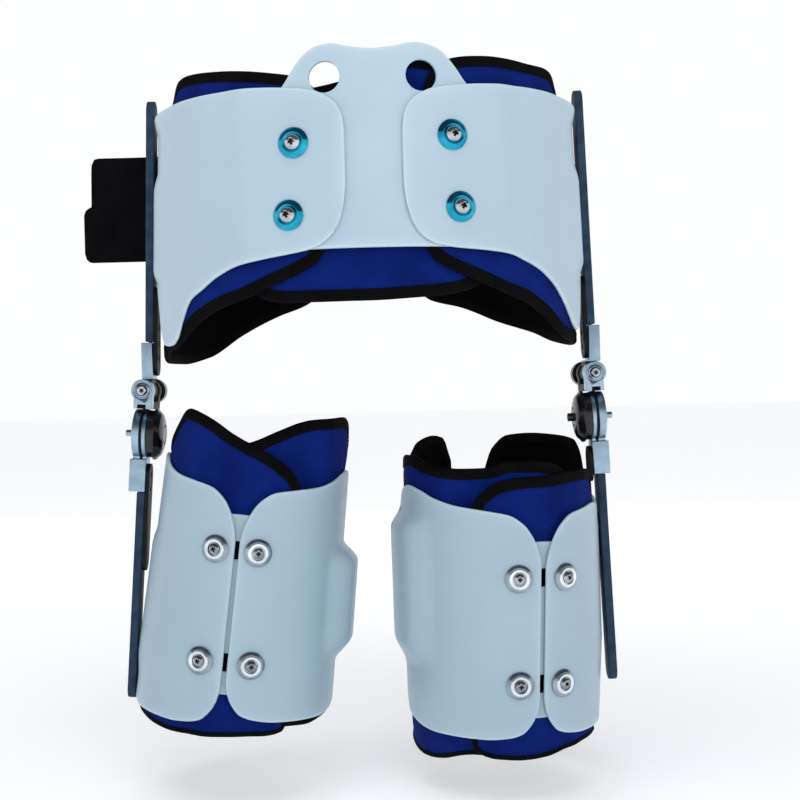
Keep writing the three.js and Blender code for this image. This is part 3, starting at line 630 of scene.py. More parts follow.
back_plate = make_panel("back_plate", "girdle", plate_rows, plate_place, GIRDLE_UNIT, SHELL)
drills = []
for angle in HOLE_ANGLES:
    start = pelvis(BACK_TURN + angle, HOLE_HEIGHT, PLATE[0] - 6)
    axis = (pelvis(BACK_TURN + angle, HOLE_HEIGHT, PLATE[1] + 8) - start).normalized()
    drills.append(turned("drill", DRILL, 64, start, axis, [SHELL]))
cut_away(back_plate, *drills)
print("back plate faces", len(back_plate.data.polygons))

# %% [markdown]
# ## Wings
# A wing laps over the plate on each side and runs round to the hip, ending in a narrow tail. Its
# outer edge is pressed out into a shallow channel, so the wall's distance from the body changes with
# angle and height.

# %% Wings
WING_THICKNESS, WING_OVER_PLATE = 3, 3.6
WING_BULGE, LEAST_BULGE = 5.2, 0.4
WING_SPACING = 2.6
WingRow = namedtuple("WingRow", "at top left right")
wing_table = [WingRow(*row) for row in (
    (7, 28, -8, -8), (7.6, 41, -24, -24), (9, 49.5, -38, -38), (11.5, 55.5, -48, -48),
    (15, 60, -54.5, -53.5), (20, 62.5, -57.5, -56), (28, 65, -60.5, -57.5), (37, 66.8, -64.5, -60),
    (43, 67.5, -70, -64), (49, 68, -79, -69.5), (54, 68.3, -86, -76), (58, 68.5, -101, -82.5),
    (61, 68.5, -114, -89), (65, 68.5, -119, -98.5), (68, 68.5, -119, -106), (71, 68.5, -118, -112),
    (73, 68.3, -113, -114), (75, 68, -104, -111.5), (78, 67.5, -84, -92), (82, 66, -72, -72),
    (88, 60, -62, -62))]


def wing_seat(angle, height):
    over = WING_OVER_PLATE * (1 - ease(angle, 33, 43))
    channel = ease(height, -74, -56) * (1 - ease(height, 5, 33))
    lip = ease(height, 39, 69)
    return PLATE[0] + over + WING_BULGE * ease(angle, 68, 82) * max(channel, lip, LEAST_BULGE)


for name, side in SIDES.items():
    def wing_place(at, h, out, side=side):
        return pelvis(around(side, at), h, wing_seat(at, h) + WING_THICKNESS / 2 + out)

    wing_rows = [Row(r.at, r.top, getattr(r, name)) for r in wing_table]
    wing = make_panel(f"wing_{name}", "girdle", wing_rows, wing_place, GIRDLE_UNIT, SHELL, WING_SPACING)
    print(wing.name, "faces", len(wing.data.polygons))

# %% [markdown]
# ## Padding and its edge tape
# Foam cloth is thinner where the tape squeezes it, so the half thickness drops close to the edge. The
# tape is a strip folded round the rim, with a row of stitches along its inner margin on both faces.
# A cloth simulation would need a remesh coarser than this foam is thick, so the soft waves of the
# free edges are moved in code instead.

# %% Stitches
TAPE_WIDTH, SQUEEZE, SQUEEZE_FADE = 8, 0.6, 5
STITCH_PITCH, STITCH_LENGTH, STITCH_WIDTH, STITCH_MARGIN, STITCH_LIFT = 3.4, 2.3, 0.55, 1.4, 0.06


def squeezed(half):
    return lambda inset: half - SQUEEZE * (1 - ease(inset, TAPE_WIDTH, TAPE_WIDTH + SQUEEZE_FADE))


def calmed(directions, rounds):
    for _ in range(rounds):
        count = len(directions)
        directions = [(directions[k - 1] + directions[k] * 2 + directions[(k + 1) % count]).normalized()
                      for k in range(count)]
    return directions


def add_stitch(vertices, flat, faces, spot, along, off, up):
    base = len(vertices)
    for step, fat in ((-0.5, 0.35), (-0.3, 1), (0.3, 1), (0.5, 0.35)):
        for side, lift in ((-0.5, -0.1), (-0.3, 0.3), (0.3, 0.3), (0.5, -0.1)):
            shift = along * step * STITCH_LENGTH + off * side * fat * STITCH_WIDTH + up * lift * fat
            vertices.append(spot + shift)
            flat.append((step * STITCH_LENGTH * MM, side * MM))
    for face in ring_faces(4, 4) + [[3, 2, 1, 0], [12, 13, 14, 15]]:
        faces.append([base + k for k in face])


print("stitch", STITCH_LENGTH, "mm long")

# %% [markdown]
# The tape's section is folded over the rim, wider where it shows and narrow along the hem of a cuff.
# The section is swept once round the pad, and stitches are set at an even pitch along the way.

# %% Edge tape
def tape_fold(width, tall):
    fold = [(-width, tall - 0.5), (-width, tall), (-width * 0.6, tall + 0.1)]
    for step in range(7):
        turn = math.pi / 2 - math.pi * step / 6
        fold.append((0.6 - tall + tall * math.cos(turn), tall * math.sin(turn)))
    return fold + [(-width * 0.6, -tall - 0.1), (-width, -tall), (-width, 0.5 - tall)]


def tape_widths(pattern, hem):
    widths = [hem if j == 0 else TAPE_WIDTH for _, j in pattern.rim]
    count = len(widths)
    for _ in range(6):
        widths = [(widths[k - 1] + widths[k] + widths[(k + 1) % count]) / 3 for k in range(count)]
    return widths


def make_tape(name, pattern, half, hem):
    away = calmed(pattern.away, 3)
    tall = half - 0.1
    widths = tape_widths(pattern, hem)
    spots = [pattern.points[i][j] for i, j in pattern.rim]
    ups = [pattern.normals[i][j] for i, j in pattern.rim]
    rounds, run = len(spots), runs(spots + spots[:1])
    vertices, flat = [], []
    for k in range(rounds):
        fold = tape_fold(widths[k], tall)
        for (off, lift), depth in zip(fold, runs(fold)):
            vertices.append(spots[k] + away[k] * off + ups[k] * lift)
            flat.append((run[k] * MM, depth * MM))
    faces = ring_faces(rounds, len(fold), loop=True)
    cloth_faces = len(faces)
    stitch_at = 0.0
    for k in range(rounds):
        following = (k + 1) % rounds
        while stitch_at < run[k + 1]:
            t = (stitch_at - run[k]) / (run[k + 1] - run[k])
            spot = spots[k].lerp(spots[following], t)
            off = away[k].lerp(away[following], t).normalized()
            up = ups[k].lerp(ups[following], t).normalized()
            along = off.cross(up)
            inward = off * (widths[k] - STITCH_MARGIN)
            for face in (1, -1):
                at = spot - inward + up * face * (tall + STITCH_LIFT)
                add_stitch(vertices, flat, faces, at, along * face, off, up * face)
            stitch_at += STITCH_PITCH
    made = show(name, vertices, faces, [TAPE, THREAD], 60, flat)
    kinds = [0] * cloth_faces + [1] * (len(faces) - cloth_faces)
    made.data.polygons.foreach_set("material_index", kinds)
    with editing(made.data) as body:
        bmesh.ops.recalc_face_normals(body, faces=body.faces)
    return made


print("edge tape", TAPE_WIDTH, "mm wide")

# %% [markdown]
# ## Padding of the girdle
# Three pads line the girdle: one behind the plate, and one on each side that reaches round to the
# front. Each is blue outside and black inside. Where no plastic backs it, the edge wanders inward by
# a millimetre or so.

# %% Girdle padding
def face_and_lining(side, i, j):
    return side


def make_pad(name, body, pattern, half, choose=face_and_lining, hem=TAPE_WIDTH):
    pad = make_wall(f"{name}_cloth", pattern, squeezed(half), [BLUE_KNIT, BLACK_KNIT, TAPE], choose)
    tape = make_tape(f"{name}_tape", pattern, half, hem)
    fit(pad, body, name)
    fit(tape, body)
    print(name, "cloth faces", len(pad.data.polygons), "tape faces", len(tape.data.polygons))
    return pad


BACK_PAD, SIDE_PAD = (0, 5), (5.8, 10.3)
BACK_PAD_HALF, PAD_HALF, PAD_SPACING = 2.5, 2.25, 3
back_rows = rows_of(
    (-34, 44, -76), (-30, 55, -87), (-22, 61.5, -91.5), (-10, 66, -92), (0, 73, -92), (12, 85, -90.5),
    (22, 81, -88), (30, 64, -82), (34, 48, -72))


def back_place(at, h, out):
    return pelvis(at, h, sum(BACK_PAD) / 2 + out)


back_pattern = make_pattern(back_rows, back_place, GIRDLE_UNIT, PAD_SPACING)
make_pad("back_pad", "girdle", back_pattern, BACK_PAD_HALF)

side_rows = rows_of(
    (13, 48, -52), (15, 62, -63), (20, 72, -71), (28, 77, -79.5), (36, 81, -87.5), (45, 84.5, -94),
    (53, 86.8, -103), (59, 87.5, -113), (63, 86.5, -117.5), (66, 83, -119.5), (68, 77, -120),
    (76, 59, -120.5), (92, 58, -120.5), (108, 57, -120), (122, 56, -115), (136, 54, -104),
    (150, 52, -87), (160, 48, -76), (166, 38, -60))
Hem = namedtuple("Hem", "lift drop rise fade")
HEMS = {"left": Hem(0, 10, 0, (118, 140)), "right": Hem(10.5, 3, 9, (140, 166))}
FREE_WAVE = 1.5
for name, side in SIDES.items():
    hem, rows = HEMS[name], []
    for r in side_rows:
        lift = hem.lift * ease(r.at, 10, 18) * (1 - ease(r.at, 22, 58))
        low = hem.drop - hem.rise * ease(r.at, 100, 118)
        drop = low * ease(r.at, 72, 94) * (1 - ease(r.at, *hem.fade))
        rows.append(Row(r.at, r.top + lift, r.bottom - drop))

    def side_place(at, h, out, side=side, rows=rows):
        top, bottom = outline(rows, "top", at), outline(rows, "bottom", at)
        free = max(ease(h, top - 14, top), ease(-h, -bottom - 20, -bottom)) * ease(at, 40, 52)
        phase = at * 0.21 + 0.4 * math.sin(at * 0.09) + (0.8 if side < 0 else 0)
        wander = FREE_WAVE * free * (0.5 - 0.5 * math.cos(phase))
        return pelvis(around(side, at), h, sum(SIDE_PAD) / 2 - wander + out)

    side_pattern = make_pattern(rows, side_place, GIRDLE_UNIT, PAD_SPACING)
    make_pad(f"side_pad_{name}", "girdle", side_pattern, PAD_HALF)

# %% [markdown]
# ## Front belt
# A wide black belt closes the girdle in front, and its free end stands out past the left hip in a
# step. Webbing is a flat band of fixed width, so it is modelled directly along its path.

# %% Front belt
BELT_MIDDLE, BELT_LOW, BELT_HEIGHT, BELT_HALF = 12.25, -39.5, 91, 1.25
belt_points = [pelvis(angle, BELT_LOW, BELT_MIDDLE).to_2d() for angle in range(97, 253, 5)]
belt_points += [Vector(p) for p in ((-163, 48), (-172, 58), (-188, 62), (-215, 62.5), (-246.5, 62))]


def through(points, t):
    last = len(points) - 1
    i = min(int(t * last), last - 1)
    w = t * last - i
    a, b, c, d = (points[min(max(i + k, 0), last)] for k in (-1, 0, 1, 2))
    leave, arrive = (c - a) / 2, (d - b) / 2
    square = c * 3 - b * 3 - leave * 2 - arrive
    return b + leave * w + square * w ** 2 + (b * 2 - c * 2 + leave + arrive) * w ** 3


BELT_STEPS, BELT_SPACING = 1200, 3.2
belt_line = [through(belt_points, k / BELT_STEPS) for k in range(BELT_STEPS + 1)]
belt_run = runs(belt_line)
BELT_LENGTH = belt_run[-1]


def belt_place(at, h, out):
    k = min(max(bisect_right(belt_run, at) - 1, 0), len(belt_run) - 2)
    t = (at - belt_run[k]) / (belt_run[k + 1] - belt_run[k])
    spot = belt_line[k].lerp(belt_line[k + 1], min(max(t, 0), 1))
    along = (belt_line[k + 1] - belt_line[k]).normalized()
    return Vector((spot.x - along.y * out, spot.y + along.x * out, h))


belt_high = BELT_LOW + BELT_HEIGHT
belt_rows = rows_of(
    (0, 44, -32), (2.5, 49, -37), (7, belt_high, BELT_LOW), (BELT_LENGTH - 15, belt_high, BELT_LOW),
    (BELT_LENGTH - 10, belt_high - 1, BELT_LOW), (BELT_LENGTH - 7.6, belt_high - 6, BELT_LOW),
    (BELT_LENGTH - 6.8, 9.5, BELT_LOW), (BELT_LENGTH - 4, 8, BELT_LOW + 0.6),
    (BELT_LENGTH - 1.5, 6, BELT_LOW + 3), (BELT_LENGTH, 2, BELT_LOW + 8))
belt_pattern = make_pattern(belt_rows, belt_place, 1, BELT_SPACING)
belt = make_wall("belt_band", belt_pattern, lambda inset: BELT_HALF, [WEBBING])
fit(belt, "girdle", "front_belt")
print("belt length", round(BELT_LENGTH), "mm")

# %% [markdown]
# ## Washers and screws
# Four turquoise cup washers hold the wings to the plate. They are turned parts, so a profile spun
# round an axis makes each one. The screw heads get their cross recess from a boolean.

# %% Washers and screws
WASHER_RADIUS, WASHER_TILT, SEAT_GAP = 11.3, 1.8, 0.3
WASHER_SEATS = {"upper": (19.7, 24), "lower": (21.2, -28.3)}
CUP = [(4, 0.5), (WASHER_RADIUS - 0.3, 0), (WASHER_RADIUS, 0.25), (WASHER_RADIUS, 0.75),
       (WASHER_RADIUS - 0.35, 1.1), (8.6, 3.0), (8.1, 3.35), (7.5, 3.4), (7.0, 3.1), (4.4, 2.0),
       (4, 1.8), (4, 0.5)]
PAN_HEAD = [(0, 0.2), (3.4, 0.2), (3.4, 2.4), (5.7, 2.6), (6, 2.9), (5.8, 3.8), (5.2, 4.8),
            (4.3, 5.7), (3.2, 6.3), (2, 6.7), (1, 6.9), (0, 7)]
PAN_RECESS, CROSS_WIDTH, CROSS_DEPTH = 5.6, 0.4, 0.42


def cross_tool(at, axis, reach, width, low, high):
    w, r = width / 2, reach / 2
    plan = [(w, r), (-w, r), (-w, w), (-r, w), (-r, -w), (-w, -w)]
    plan += [(-x, -y) for x, y in plan]
    pose = Vector((0, 0, 1)).rotation_difference(axis).to_matrix()
    vertices = [pose @ Vector((x * spread, y * spread, h)) + at
                for h, spread in ((low, 0.55), (high, 1)) for x, y in plan]
    ends = [list(range(11, -1, -1)), list(range(12, 24))]
    return show("cross", vertices, ring_faces(2, 12) + ends, [DARK_STEEL])


def make_screw(name, profile, at, axis, finish, reach, body, node=None):
    top = max(h for _, h in profile)
    screw = turned(name, profile, 40, at, axis, [finish])
    cross = cross_tool(at, axis, reach, reach * CROSS_WIDTH, top - reach * CROSS_DEPTH, top + 1)
    cut_away(screw, cross)
    fit(screw, body, node)


for name, side in SIDES.items():
    for level, (angle, middle) in WASHER_SEATS.items():
        height = middle + side * WASHER_TILT
        out = wing_seat(angle, height) + WING_THICKNESS + SEAT_GAP
        at = pelvis(around(side, angle), height, out)
        before, after = (pelvis(around(side, angle + step), height, out) for step in (-1, 1))
        axis = Vector((after.y - before.y, before.x - after.x, 0)).normalized()
        axis *= math.copysign(1, axis.dot(at))
        cup = turned(f"washer_{name}_{level}_cup", CUP, 72, at, axis, [TURQUOISE])
        fit(cup, "girdle", f"washer_{name}_{level}")
        label = f"screw_{name}_{level}"
        make_screw(f"{label}_head", PAN_HEAD, at, axis, CHROME, PAN_RECESS, "girdle", label)
print("washers and screws made")

# %% [markdown]
# ## Where the legs sit
# Each leg hangs on its own chain of frames: the hip pivot lets it swing out, the hinge below it lets
# it swing forward, and the cuff stands inward of the bar. Matrices multiplied in that order give the
# cuff's place, with the two sides set a little differently, as on a brace fitted to one wearer.

# %% Leg frames
FLEX_DROP = 35.3
CUFF_UNIT = 1.3
Leg = namedtuple("Leg", "side pivot_x pivot_z abduction radius taper press out lean drop seam")
LEGS = {"left": Leg(-1, 184.5, -152.5, 4.2, 62, -0.027, 0, 88.7, 3, 125.5, 2.4),
        "right": Leg(1, 180, -147.4, 2, 65.3, 0.036, 9.2, 84.45, -3.4, 157.5, 16.4)}


def link_frame(leg):
    hip = Matrix.Translation((leg.side * leg.pivot_x, 0, leg.pivot_z))
    return hip @ Matrix.Rotation(-leg.side * math.radians(leg.abduction), 4, "Y")


def hinge_frame(leg):
    return link_frame(leg) @ Matrix.Translation((0, 0, -FLEX_DROP))


def cuff_frame(leg):
    inward = Matrix.Translation((-leg.side * leg.out, 0, -leg.drop))
    return hinge_frame(leg) @ inward @ Matrix.Rotation(-leg.side * math.radians(leg.lean), 4, "Y")


def on_cuff(leg, angle, height, out):
    radius = leg.radius + out + leg.taper * height
    a = math.radians(angle + leg.seam)
    press = leg.press * min(max((height + 25) / 135, 0), 1) * ease(math.sin(a), 0.3, 1)
    outward = radius * math.sin(a) - press
    return cuff_frame(leg) @ Vector((leg.side * outward, -radius * math.cos(a), height))


for name, leg in LEGS.items():
    print(name, "cuff centre", [round(v) for v in cuff_frame(leg).translation])

# %% [markdown]
# ## Cuff shells and backing
# Two half shells meet at a seam behind the thigh, each pressed out along its far edge. A flat backing
# strip bridges the seam and has two slots. Shells and strip are the same sort of wall as the wings.

# %% Cuff shells and backing
CUFF_STRIP, CUFF_SHELL, SEAM_HALF = (9.6, 12.1), (12.4, 15.4), 1.25
SNAP_HEIGHT = {"left": 42.6, "right": 40.6}
SLOT_HALF_WIDTH, SLOT_HALF_HEIGHT = 4, 7
STRIP_HALF = 1.25
shell_rows = rows_of(
    (0, 50, -56), (1.5, 60, -66), (4.5, 71, -74), (10, 81.5, -81.5), (18, 88.5, -84.5), (30, 91.5, -86),
    (48, 95, -86), (62, 100, -86), (72, 105, -85), (84, 108, -82), (94, 104, -78), (100, 90, -64))
strip_half = rows_of((-17, 20.4, -60), (-13, 26.4, -66), (0, 27.4, -67))


def slot_tool(leg, height):
    corners = []
    for out in (CUFF_STRIP[0] - 6, CUFF_STRIP[1] + 6):
        centre = on_cuff(leg, 0, height, out)
        across = (on_cuff(leg, 1, height, out) - on_cuff(leg, -1, height, out)).normalized()
        across *= SLOT_HALF_WIDTH
        up = (on_cuff(leg, 0, height + 1, out) - centre).normalized() * SLOT_HALF_HEIGHT
        corners += [centre + across * x + up * y for x, y in ((-1, -1), (1, -1), (1, 1), (-1, 1))]
    tool = show("slot", corners, [[3, 2, 1, 0], [4, 5, 6, 7]] + ring_faces(2, 4), [BACKING])
    with editing(tool.data) as body:
        bmesh.ops.recalc_face_normals(body, faces=body.faces)
    return tool


Half = namedtuple("Half", "leg name turn bulge low high trim drop")
HALVES = [Half("left", "outer", 1, 2.4, -64, 42, 0, 6), Half("left", "inner", -1, 13, -36, 42, 0, 0),
          Half("right", "outer", 1, 3, -25, 81, 9, -4), Half("right", "inner", -1, 9, -25, 81, 0, -3)]
for half in HALVES:
    def shell_place(at, h, out, half=half):
        panel = ease(h, half.low - 12, half.low + 12) * (1 - ease(h, half.high - 8, half.high + 8))
        away = sum(CUFF_SHELL) / 2 + half.bulge * panel * ease(at, 60, 80)
        return on_cuff(LEGS[half.leg], half.turn * (at + SEAM_HALF), h, away + out)

    rows = [Row(r.at, r.top - half.trim * ease(r.at, 45, 66), r.bottom - half.drop) for r in shell_rows]
    # the cuff shells take the darker copy of the plastic, which is painted shade
    make_panel(f"shell_{half.leg}_{half.name}", f"thigh_{half.leg}", rows, shell_place, CUFF_UNIT,
               CUFF_PLASTIC_PAINTED_SHADE)

for name, leg in LEGS.items():
    def strip_place(at, h, out, leg=leg):
        return on_cuff(leg, at, h, sum(CUFF_STRIP) / 2 + out)

    strip_rows = [Row(turn * r.at, SNAP_HEIGHT[name] + r.top, r.bottom)
                  for turn, half in ((1, strip_half), (-1, strip_half[-2::-1])) for r in half]
    backing = make_panel(f"backing_{name}", f"thigh_{name}", strip_rows, strip_place, CUFF_UNIT,
                         BACKING, half=STRIP_HALF)
    cut_away(backing, slot_tool(leg, SNAP_HEIGHT[name]), slot_tool(leg, -SNAP_HEIGHT[name]))
    print(name, "cuff shells and backing made")

# %% [markdown]
# ## Cuff padding
# Each cuff is lined with two flaps that reach round the thigh: the outer flap laps over the inner one
# behind. Their edges differ on the two sides, so each flap has its own table of rows.

# %% Outlines of the flaps
left_outer = rows_of(
    (-42, 70, -84), (-38, 91, -94), (-27, 108, -97), (-16, 116, -98), (-2, 123, -99.5), (12, 130, -101),
    (32, 141.5, -101), (47, 145.5, -100), (64, 133, -98), (80, 119, -97), (100, 113, -96),
    (130, 117, -95), (148, 114, -94), (158, 106, -87), (162, 92, -66))
left_inner = rows_of(
    (-34, 98, -80), (-30, 111, -90), (-14, 119, -96), (2, 125, -98), (20, 135, -96), (37, 143, -94),
    (60, 148.5, -91), (80, 150, -89), (90, 145, -89), (98, 132, -90), (112, 124, -92), (134, 120, -94),
    (150, 115, -94), (160, 107, -86), (164, 92, -66))
right_outer = rows_of(
    (-42, 80, -82), (-40, 92, -91), (-34, 104, -96), (-25, 112.5, -98.5), (-12, 116, -99.5),
    (6, 117.5, -98), (22, 120, -94), (40, 121, -91), (54, 118, -91), (62, 106, -92), (66, 100.5, -93),
    (81, 100.5, -94), (86, 116, -94), (92, 133, -94.5), (100, 142, -95), (120, 145, -95),
    (138, 146, -94), (154, 144, -93), (164, 132, -86), (169, 112, -66))
right_inner = rows_of(
    (-34, 100, -82), (-30, 114, -92), (-14, 125, -97), (2, 128, -99), (18, 128, -99), (32, 123, -98),
    (49, 122, -99), (62, 124, -103), (72, 126.5, -105), (82, 131, -105.5), (94, 131, -104),
    (112, 127, -100), (130, 128, -96), (140, 139, -95), (154, 144, -93), (162, 142, -87),
    (168, 122, -66))
FLAPS = {"left": (left_outer, left_inner), "right": (right_outer, right_inner)}
print("flap outlines", sum(len(rows) for pair in FLAPS.values() for rows in pair), "rows")

# %% [markdown]
# The flaps step outward beside the backing strip, so they lie against the shells there, and their
# free upper edges curl out a little. The inner flap dives under the outer one behind the thigh. The
# slots in the backing look black, so the cloth behind each slot takes the black finish.

# %% Cuff padding
CUFF_PAD = (4.8, 9.3)
LAP_DEPTH = 5.7
CUFF_HEM = 3.5
CURL, FLAP_STEP = 1.6, 2.4
CUFF_SPACING = 2.8


def step_out(angle):
    return FLAP_STEP * ease(abs(angle), 18, 30)


for name, leg in LEGS.items():
    outer_rows, inner_rows = FLAPS[name]

    def outer_place(at, h, out, leg=leg):
        free = ease(h, 98, 124) * ease(abs(at), 20, 40)
        curl = 0.5 - 0.5 * math.cos(at * 0.16 + leg.seam)
        return on_cuff(leg, at, h, sum(CUFF_PAD) / 2 + step_out(at) + CURL * free * curl + out)

    def inner_place(at, h, out, leg=leg):
        beyond = ease(at, 42, 60)
        free = ease(h, 98, 124) * beyond
        curl = 0.5 - 0.5 * math.cos(at * 0.14 + leg.seam)
        away = sum(CUFF_PAD) / 2 + step_out(at) * beyond - LAP_DEPTH * (1 - beyond) + CURL * free * curl
        return on_cuff(leg, -at, h, away + out)

    outer_pattern = make_pattern(outer_rows, outer_place, CUFF_UNIT, CUFF_SPACING)
    inner_pattern = make_pattern(inner_rows, inner_place, CUFF_UNIT, CUFF_SPACING)
    columns = [abs(at) for at in stations(outer_rows, CUFF_UNIT, CUFF_SPACING)]
    seam_column = columns.index(min(columns))

    def behind_slots(side, i, j, pattern=outer_pattern, seam=seam_column, level=SNAP_HEIGHT[name]):
        height = pattern.flat[i][j][1] / MM
        near = abs(pattern.flat[i][j][0] - pattern.flat[seam][j][0]) / MM < SLOT_HALF_WIDTH + 3
        slot = abs(abs(height) - level) < SLOT_HALF_HEIGHT + 3
        return 1 if near and slot else side

    make_pad(f"pad_{name}_outer", f"thigh_{name}", outer_pattern, PAD_HALF, behind_slots, CUFF_HEM)
    make_pad(f"pad_{name}_inner", f"thigh_{name}", inner_pattern, PAD_HALF, hem=CUFF_HEM)

# %% [markdown]
# ## Cuff snaps
# The half shells are held to the backing by nickel cup snaps, each with a small dark screw in its
# middle. The cup is a dull cone with a polished ring in it; the cone's nickel is painted darker as
# painted shade, and the screw sits down inside the ring.

# %% Cuff snaps
SNAP_RADIUS, SNAP_TURN, SNAP_SPREAD = 10.6, 13.3, {"left": -1, "right": 0.5}
SNAP_RECESS = 4.4
SNAP_RIM = [(6.5, 0), (SNAP_RADIUS - 0.3, 0), (SNAP_RADIUS, 0.25), (SNAP_RADIUS, 0.6),
            (SNAP_RADIUS - 0.3, 1.0), (8.4, 2.4), (6.5, 2.4), (6.5, 0)]
SNAP_RING = [(0, 0.3), (8.0, 0.3), (8.0, 2.5), (7.8, 3.0), (7.3, 3.35), (5.6, 3.3), (5.2, 3.1),
             (4.9, 2.6), (4.8, 1.7), (0, 1.6)]
SNAP_SCREW = [(0, 1.6), (4.3, 1.6), (4.5, 2), (4.4, 2.8), (3.8, 3.7), (2.8, 4.4), (1.4, 4.8),
              (0, 4.9)]
for name, leg in LEGS.items():
    for half, turn in (("outer", 1), ("inner", -1)):
        for level, up in (("upper", 1), ("lower", -1)):
            angle, height = turn * (SNAP_TURN + up * SNAP_SPREAD[name]), up * SNAP_HEIGHT[name]
            at = on_cuff(leg, angle, height, CUFF_SHELL[1] + 0.6)
            axis = (on_cuff(leg, angle, height, CUFF_SHELL[1] + 9) - at).normalized()
            label = f"snap_{name}_{half}_{level}"
            # the rim takes the darker nickel, which is painted shade on the cone
            rim = turned(f"{label}_rim", SNAP_RIM, 64, at, axis, [SNAP_EDGE_PAINTED_SHADE])
            ring = turned(f"{label}_ring", SNAP_RING, 64, at, axis, [SNAP])
            fit(rim, f"thigh_{name}")
            fit(ring, f"thigh_{name}", label)
            make_screw(f"{label}_screw", SNAP_SCREW, at, axis, SNAP_CENTRE, SNAP_RECESS,
                       f"thigh_{name}")
    print(name, "cuff snaps made")

# %% [markdown]
# ## Bars and hinge castings
# These shapes are right in the imported model and only lack their broken edges. We copy each node's
# mesh, merge its flat triangles and bevel what is left. A narrow bevel catches a line of light, which
# is what makes metal look machined. Behind the bright rear ear each hip pivot lies in shade, which is
# painted: a plane cuts the faces there, and those beyond it take the black finish as painted shade.

# %% Bars and hinge castings
def machined(node, body, finish, bevel):
    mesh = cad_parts[node].data.copy()
    with editing(mesh) as solid:
        bmesh.ops.remove_doubles(solid, verts=solid.verts, dist=0.01 * MM)
        bmesh.ops.dissolve_limit(solid, angle_limit=math.radians(1), verts=solid.verts,
                                 edges=solid.edges)
        sharp = [e for e in solid.edges if e.is_manifold and e.calc_face_angle() > math.radians(35)]
        bmesh.ops.bevel(solid, geom=sharp, offset=bevel * MM, segments=2, profile=0.6, affect="EDGES",
                        clamp_overlap=True)
    mesh.materials.clear()
    mesh.materials.append(finish)
    mesh.shade_smooth()
    mesh.set_sharp_from_angle(angle=math.radians(38))
    made = bpy.data.objects.new(f"{node}_finished", mesh)
    bpy.context.collection.objects.link(made)
    fit(made, body, node)
    return made


# Painted shade: faces beyond the plane take the black finish, standing for the shade behind the rear
# ear.
def paint_shade_beyond(piece, at, towards):
    piece.data.materials.append(STRIP)
    with editing(piece.data) as solid:
        everything = solid.verts[:] + solid.edges[:] + solid.faces[:]
        bmesh.ops.bisect_plane(solid, geom=everything, plane_co=at * MM, plane_no=towards)
        for face in solid.faces:
            if (face.calc_center_median() - at * MM).dot(towards) > 0:
                face.material_index = 1


NECK_TOP, REAR_EAR_FRONT = 9.4, -9.8
EAR_GROOVE = [(6.3, -22), (7, -22), (7, -19.6), (6.3, -19.6), (6.3, -22)]
for name in SIDES:
    machined(f"upright_{name}", "girdle", BAR, 0.7)
    machined(f"upright_strip_{name}", "girdle", STRIP, 0.4)
    pivot = link_frame(LEGS[name]).translation
    bracket = machined(f"hip_bracket_{name}", "girdle", SILVER, 0.6)
    # painted shade on the bracket's neck and on the clevis ahead of its rear ear
    paint_shade_beyond(bracket, pivot + Vector((0, 0, NECK_TOP)), Vector((0, 0, -1)))
    clevis = machined(f"clevis_{name}", f"link_{name}", SILVER, 0.6)
    cut_away(clevis, turned("groove", EAR_GROOVE, 48, pivot, Vector((0, 1, 0)), [SILVER]))
    paint_shade_beyond(clevis, pivot + Vector((0, REAR_EAR_FRONT, 0)), Vector((0, 1, 0)))
    machined(f"tongue_{name}", f"link_{name}", STRIP, 0.2)
    machined(f"lower_arm_{name}", f"thigh_{name}", SILVER, 0.5)
    machined(f"thigh_bar_{name}", f"thigh_{name}", BAR, 0.7)
    machined(f"thigh_strip_{name}", f"thigh_{name}", STRIP, 0.4)
    print(name, "bars and castings finished")

# %% [markdown]
# ## Turned hinge parts
# The pivot bolt has a bright socket head behind and a dark clamp knob in front. The hinge has a round
# moulded cover on its inner face, with a small grip on the right one, and a stud shows outside. All
# of them are turned, with grooves and rounded edges in their profiles.

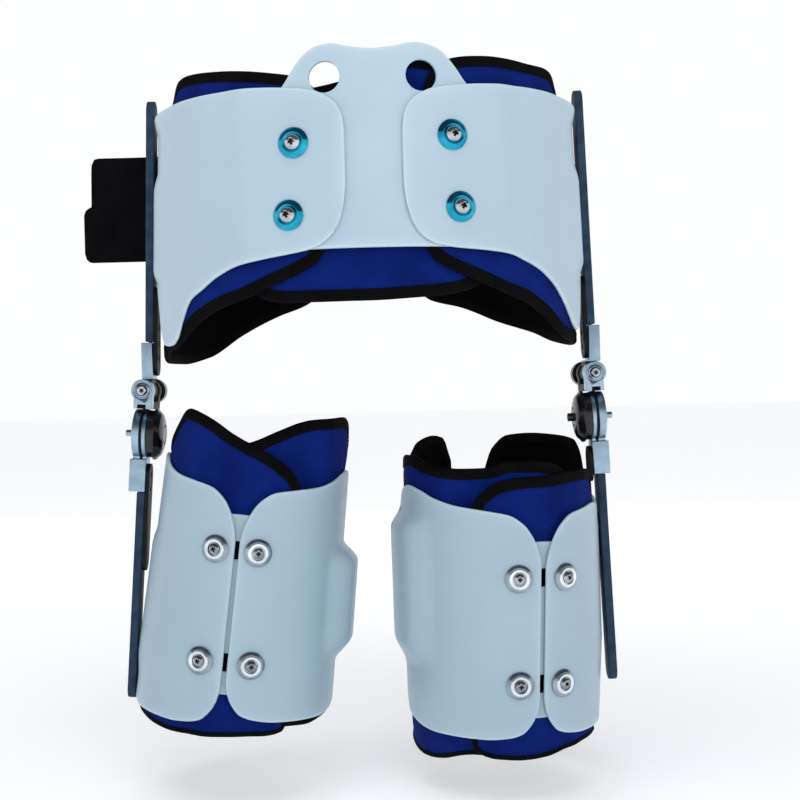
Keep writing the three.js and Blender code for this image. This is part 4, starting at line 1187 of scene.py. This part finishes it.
# %% Turned hinge parts
PIVOT_SCREW = [(0, -22.6), (1.9, -22.6), (2.2, -22.9), (3, -22.9), (3.6, -22.3), (3.6, -21.15),
               (0, -21.15)]
PIVOT_KNOB = [(0, -21.1), (4.2, -21.1), (4.4, -20.9), (4.4, -20.3), (3, -20.3), (3, 20.3), (5.2, 20.3),
              (5.2, 29), (10, 29), (10.4, 29.5), (10.4, 39.6), (10, 40.6), (9, 41.4), (6, 41.4),
              (5.6, 40.8), (0, 40.8)]
SOCKET = [(0, -24), (1.7, -24), (1.7, -21.8), (0, -21.8)]
GRIP = [(0, -21.6), (2.4, -21.6), (3.1, -21.3), (3.4, -20.6), (3.4, -16.9), (4.2, -16.3)]
COVER_FACE = [(0, -16.4), (6.5, -16.4), (7, -15.9), (8, -15.9), (8.5, -16.4), (12, -16.2),
              (16.4, -14.7), (17.2, -14.1), (19.2, -12), (19.8, -11.5), (20.6, -10.9), (21, -10.2),
              (21, -8.8), (20.7, -8.5), (19.4, -8.5), (19.4, -4.2), (0, -4.2)]
STUD = [(0, -3.8), (3, -3.8), (3, 7.5), (8.7, 7.5), (9, 7.8), (9, 9.2), (8.6, 9.6), (5.2, 9.6),
        (4.8, 9.3), (2.6, 9.3), (2.6, 14.6), (2, 15.2), (0, 15.2)]
for name, leg in LEGS.items():
    link, hinge = link_frame(leg), hinge_frame(leg)
    ahead = link.to_3x3() @ Vector((0, 1, 0))
    outward = hinge.to_3x3() @ Vector((leg.side, 0, 0))
    bolt = turned(f"pivot_bolt_{name}_turned", PIVOT_KNOB, 40, link.translation, ahead, [DARK_STEEL])
    head = turned(f"pivot_bolt_{name}_head", PIVOT_SCREW, 40, link.translation, ahead, [CHROME])
    cut_away(head, turned("socket", SOCKET, 6, link.translation, ahead, [DARK_STEEL], 20))
    fit(bolt, f"link_{name}", f"pivot_bolt_{name}")
    fit(head, f"link_{name}")
    face = GRIP + COVER_FACE[1:] if leg.side > 0 else COVER_FACE
    cover = turned(f"hinge_cover_{name}_turned", face, 72, hinge.translation, outward, [COVER])
    fit(cover, f"thigh_{name}", f"hinge_cover_{name}")
    stud = turned(f"hinge_bolt_{name}_turned", STUD, 40, hinge.translation, outward, [SILVER])
    fit(stud, f"thigh_{name}", f"hinge_bolt_{name}")
    print(name, "turned hinge parts made")

# %% [markdown]
# The box that the finished looks fill is printed at the end.

low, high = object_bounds()
print("visual box", [round(v, 3) for v in low], [round(v, 3) for v in high])
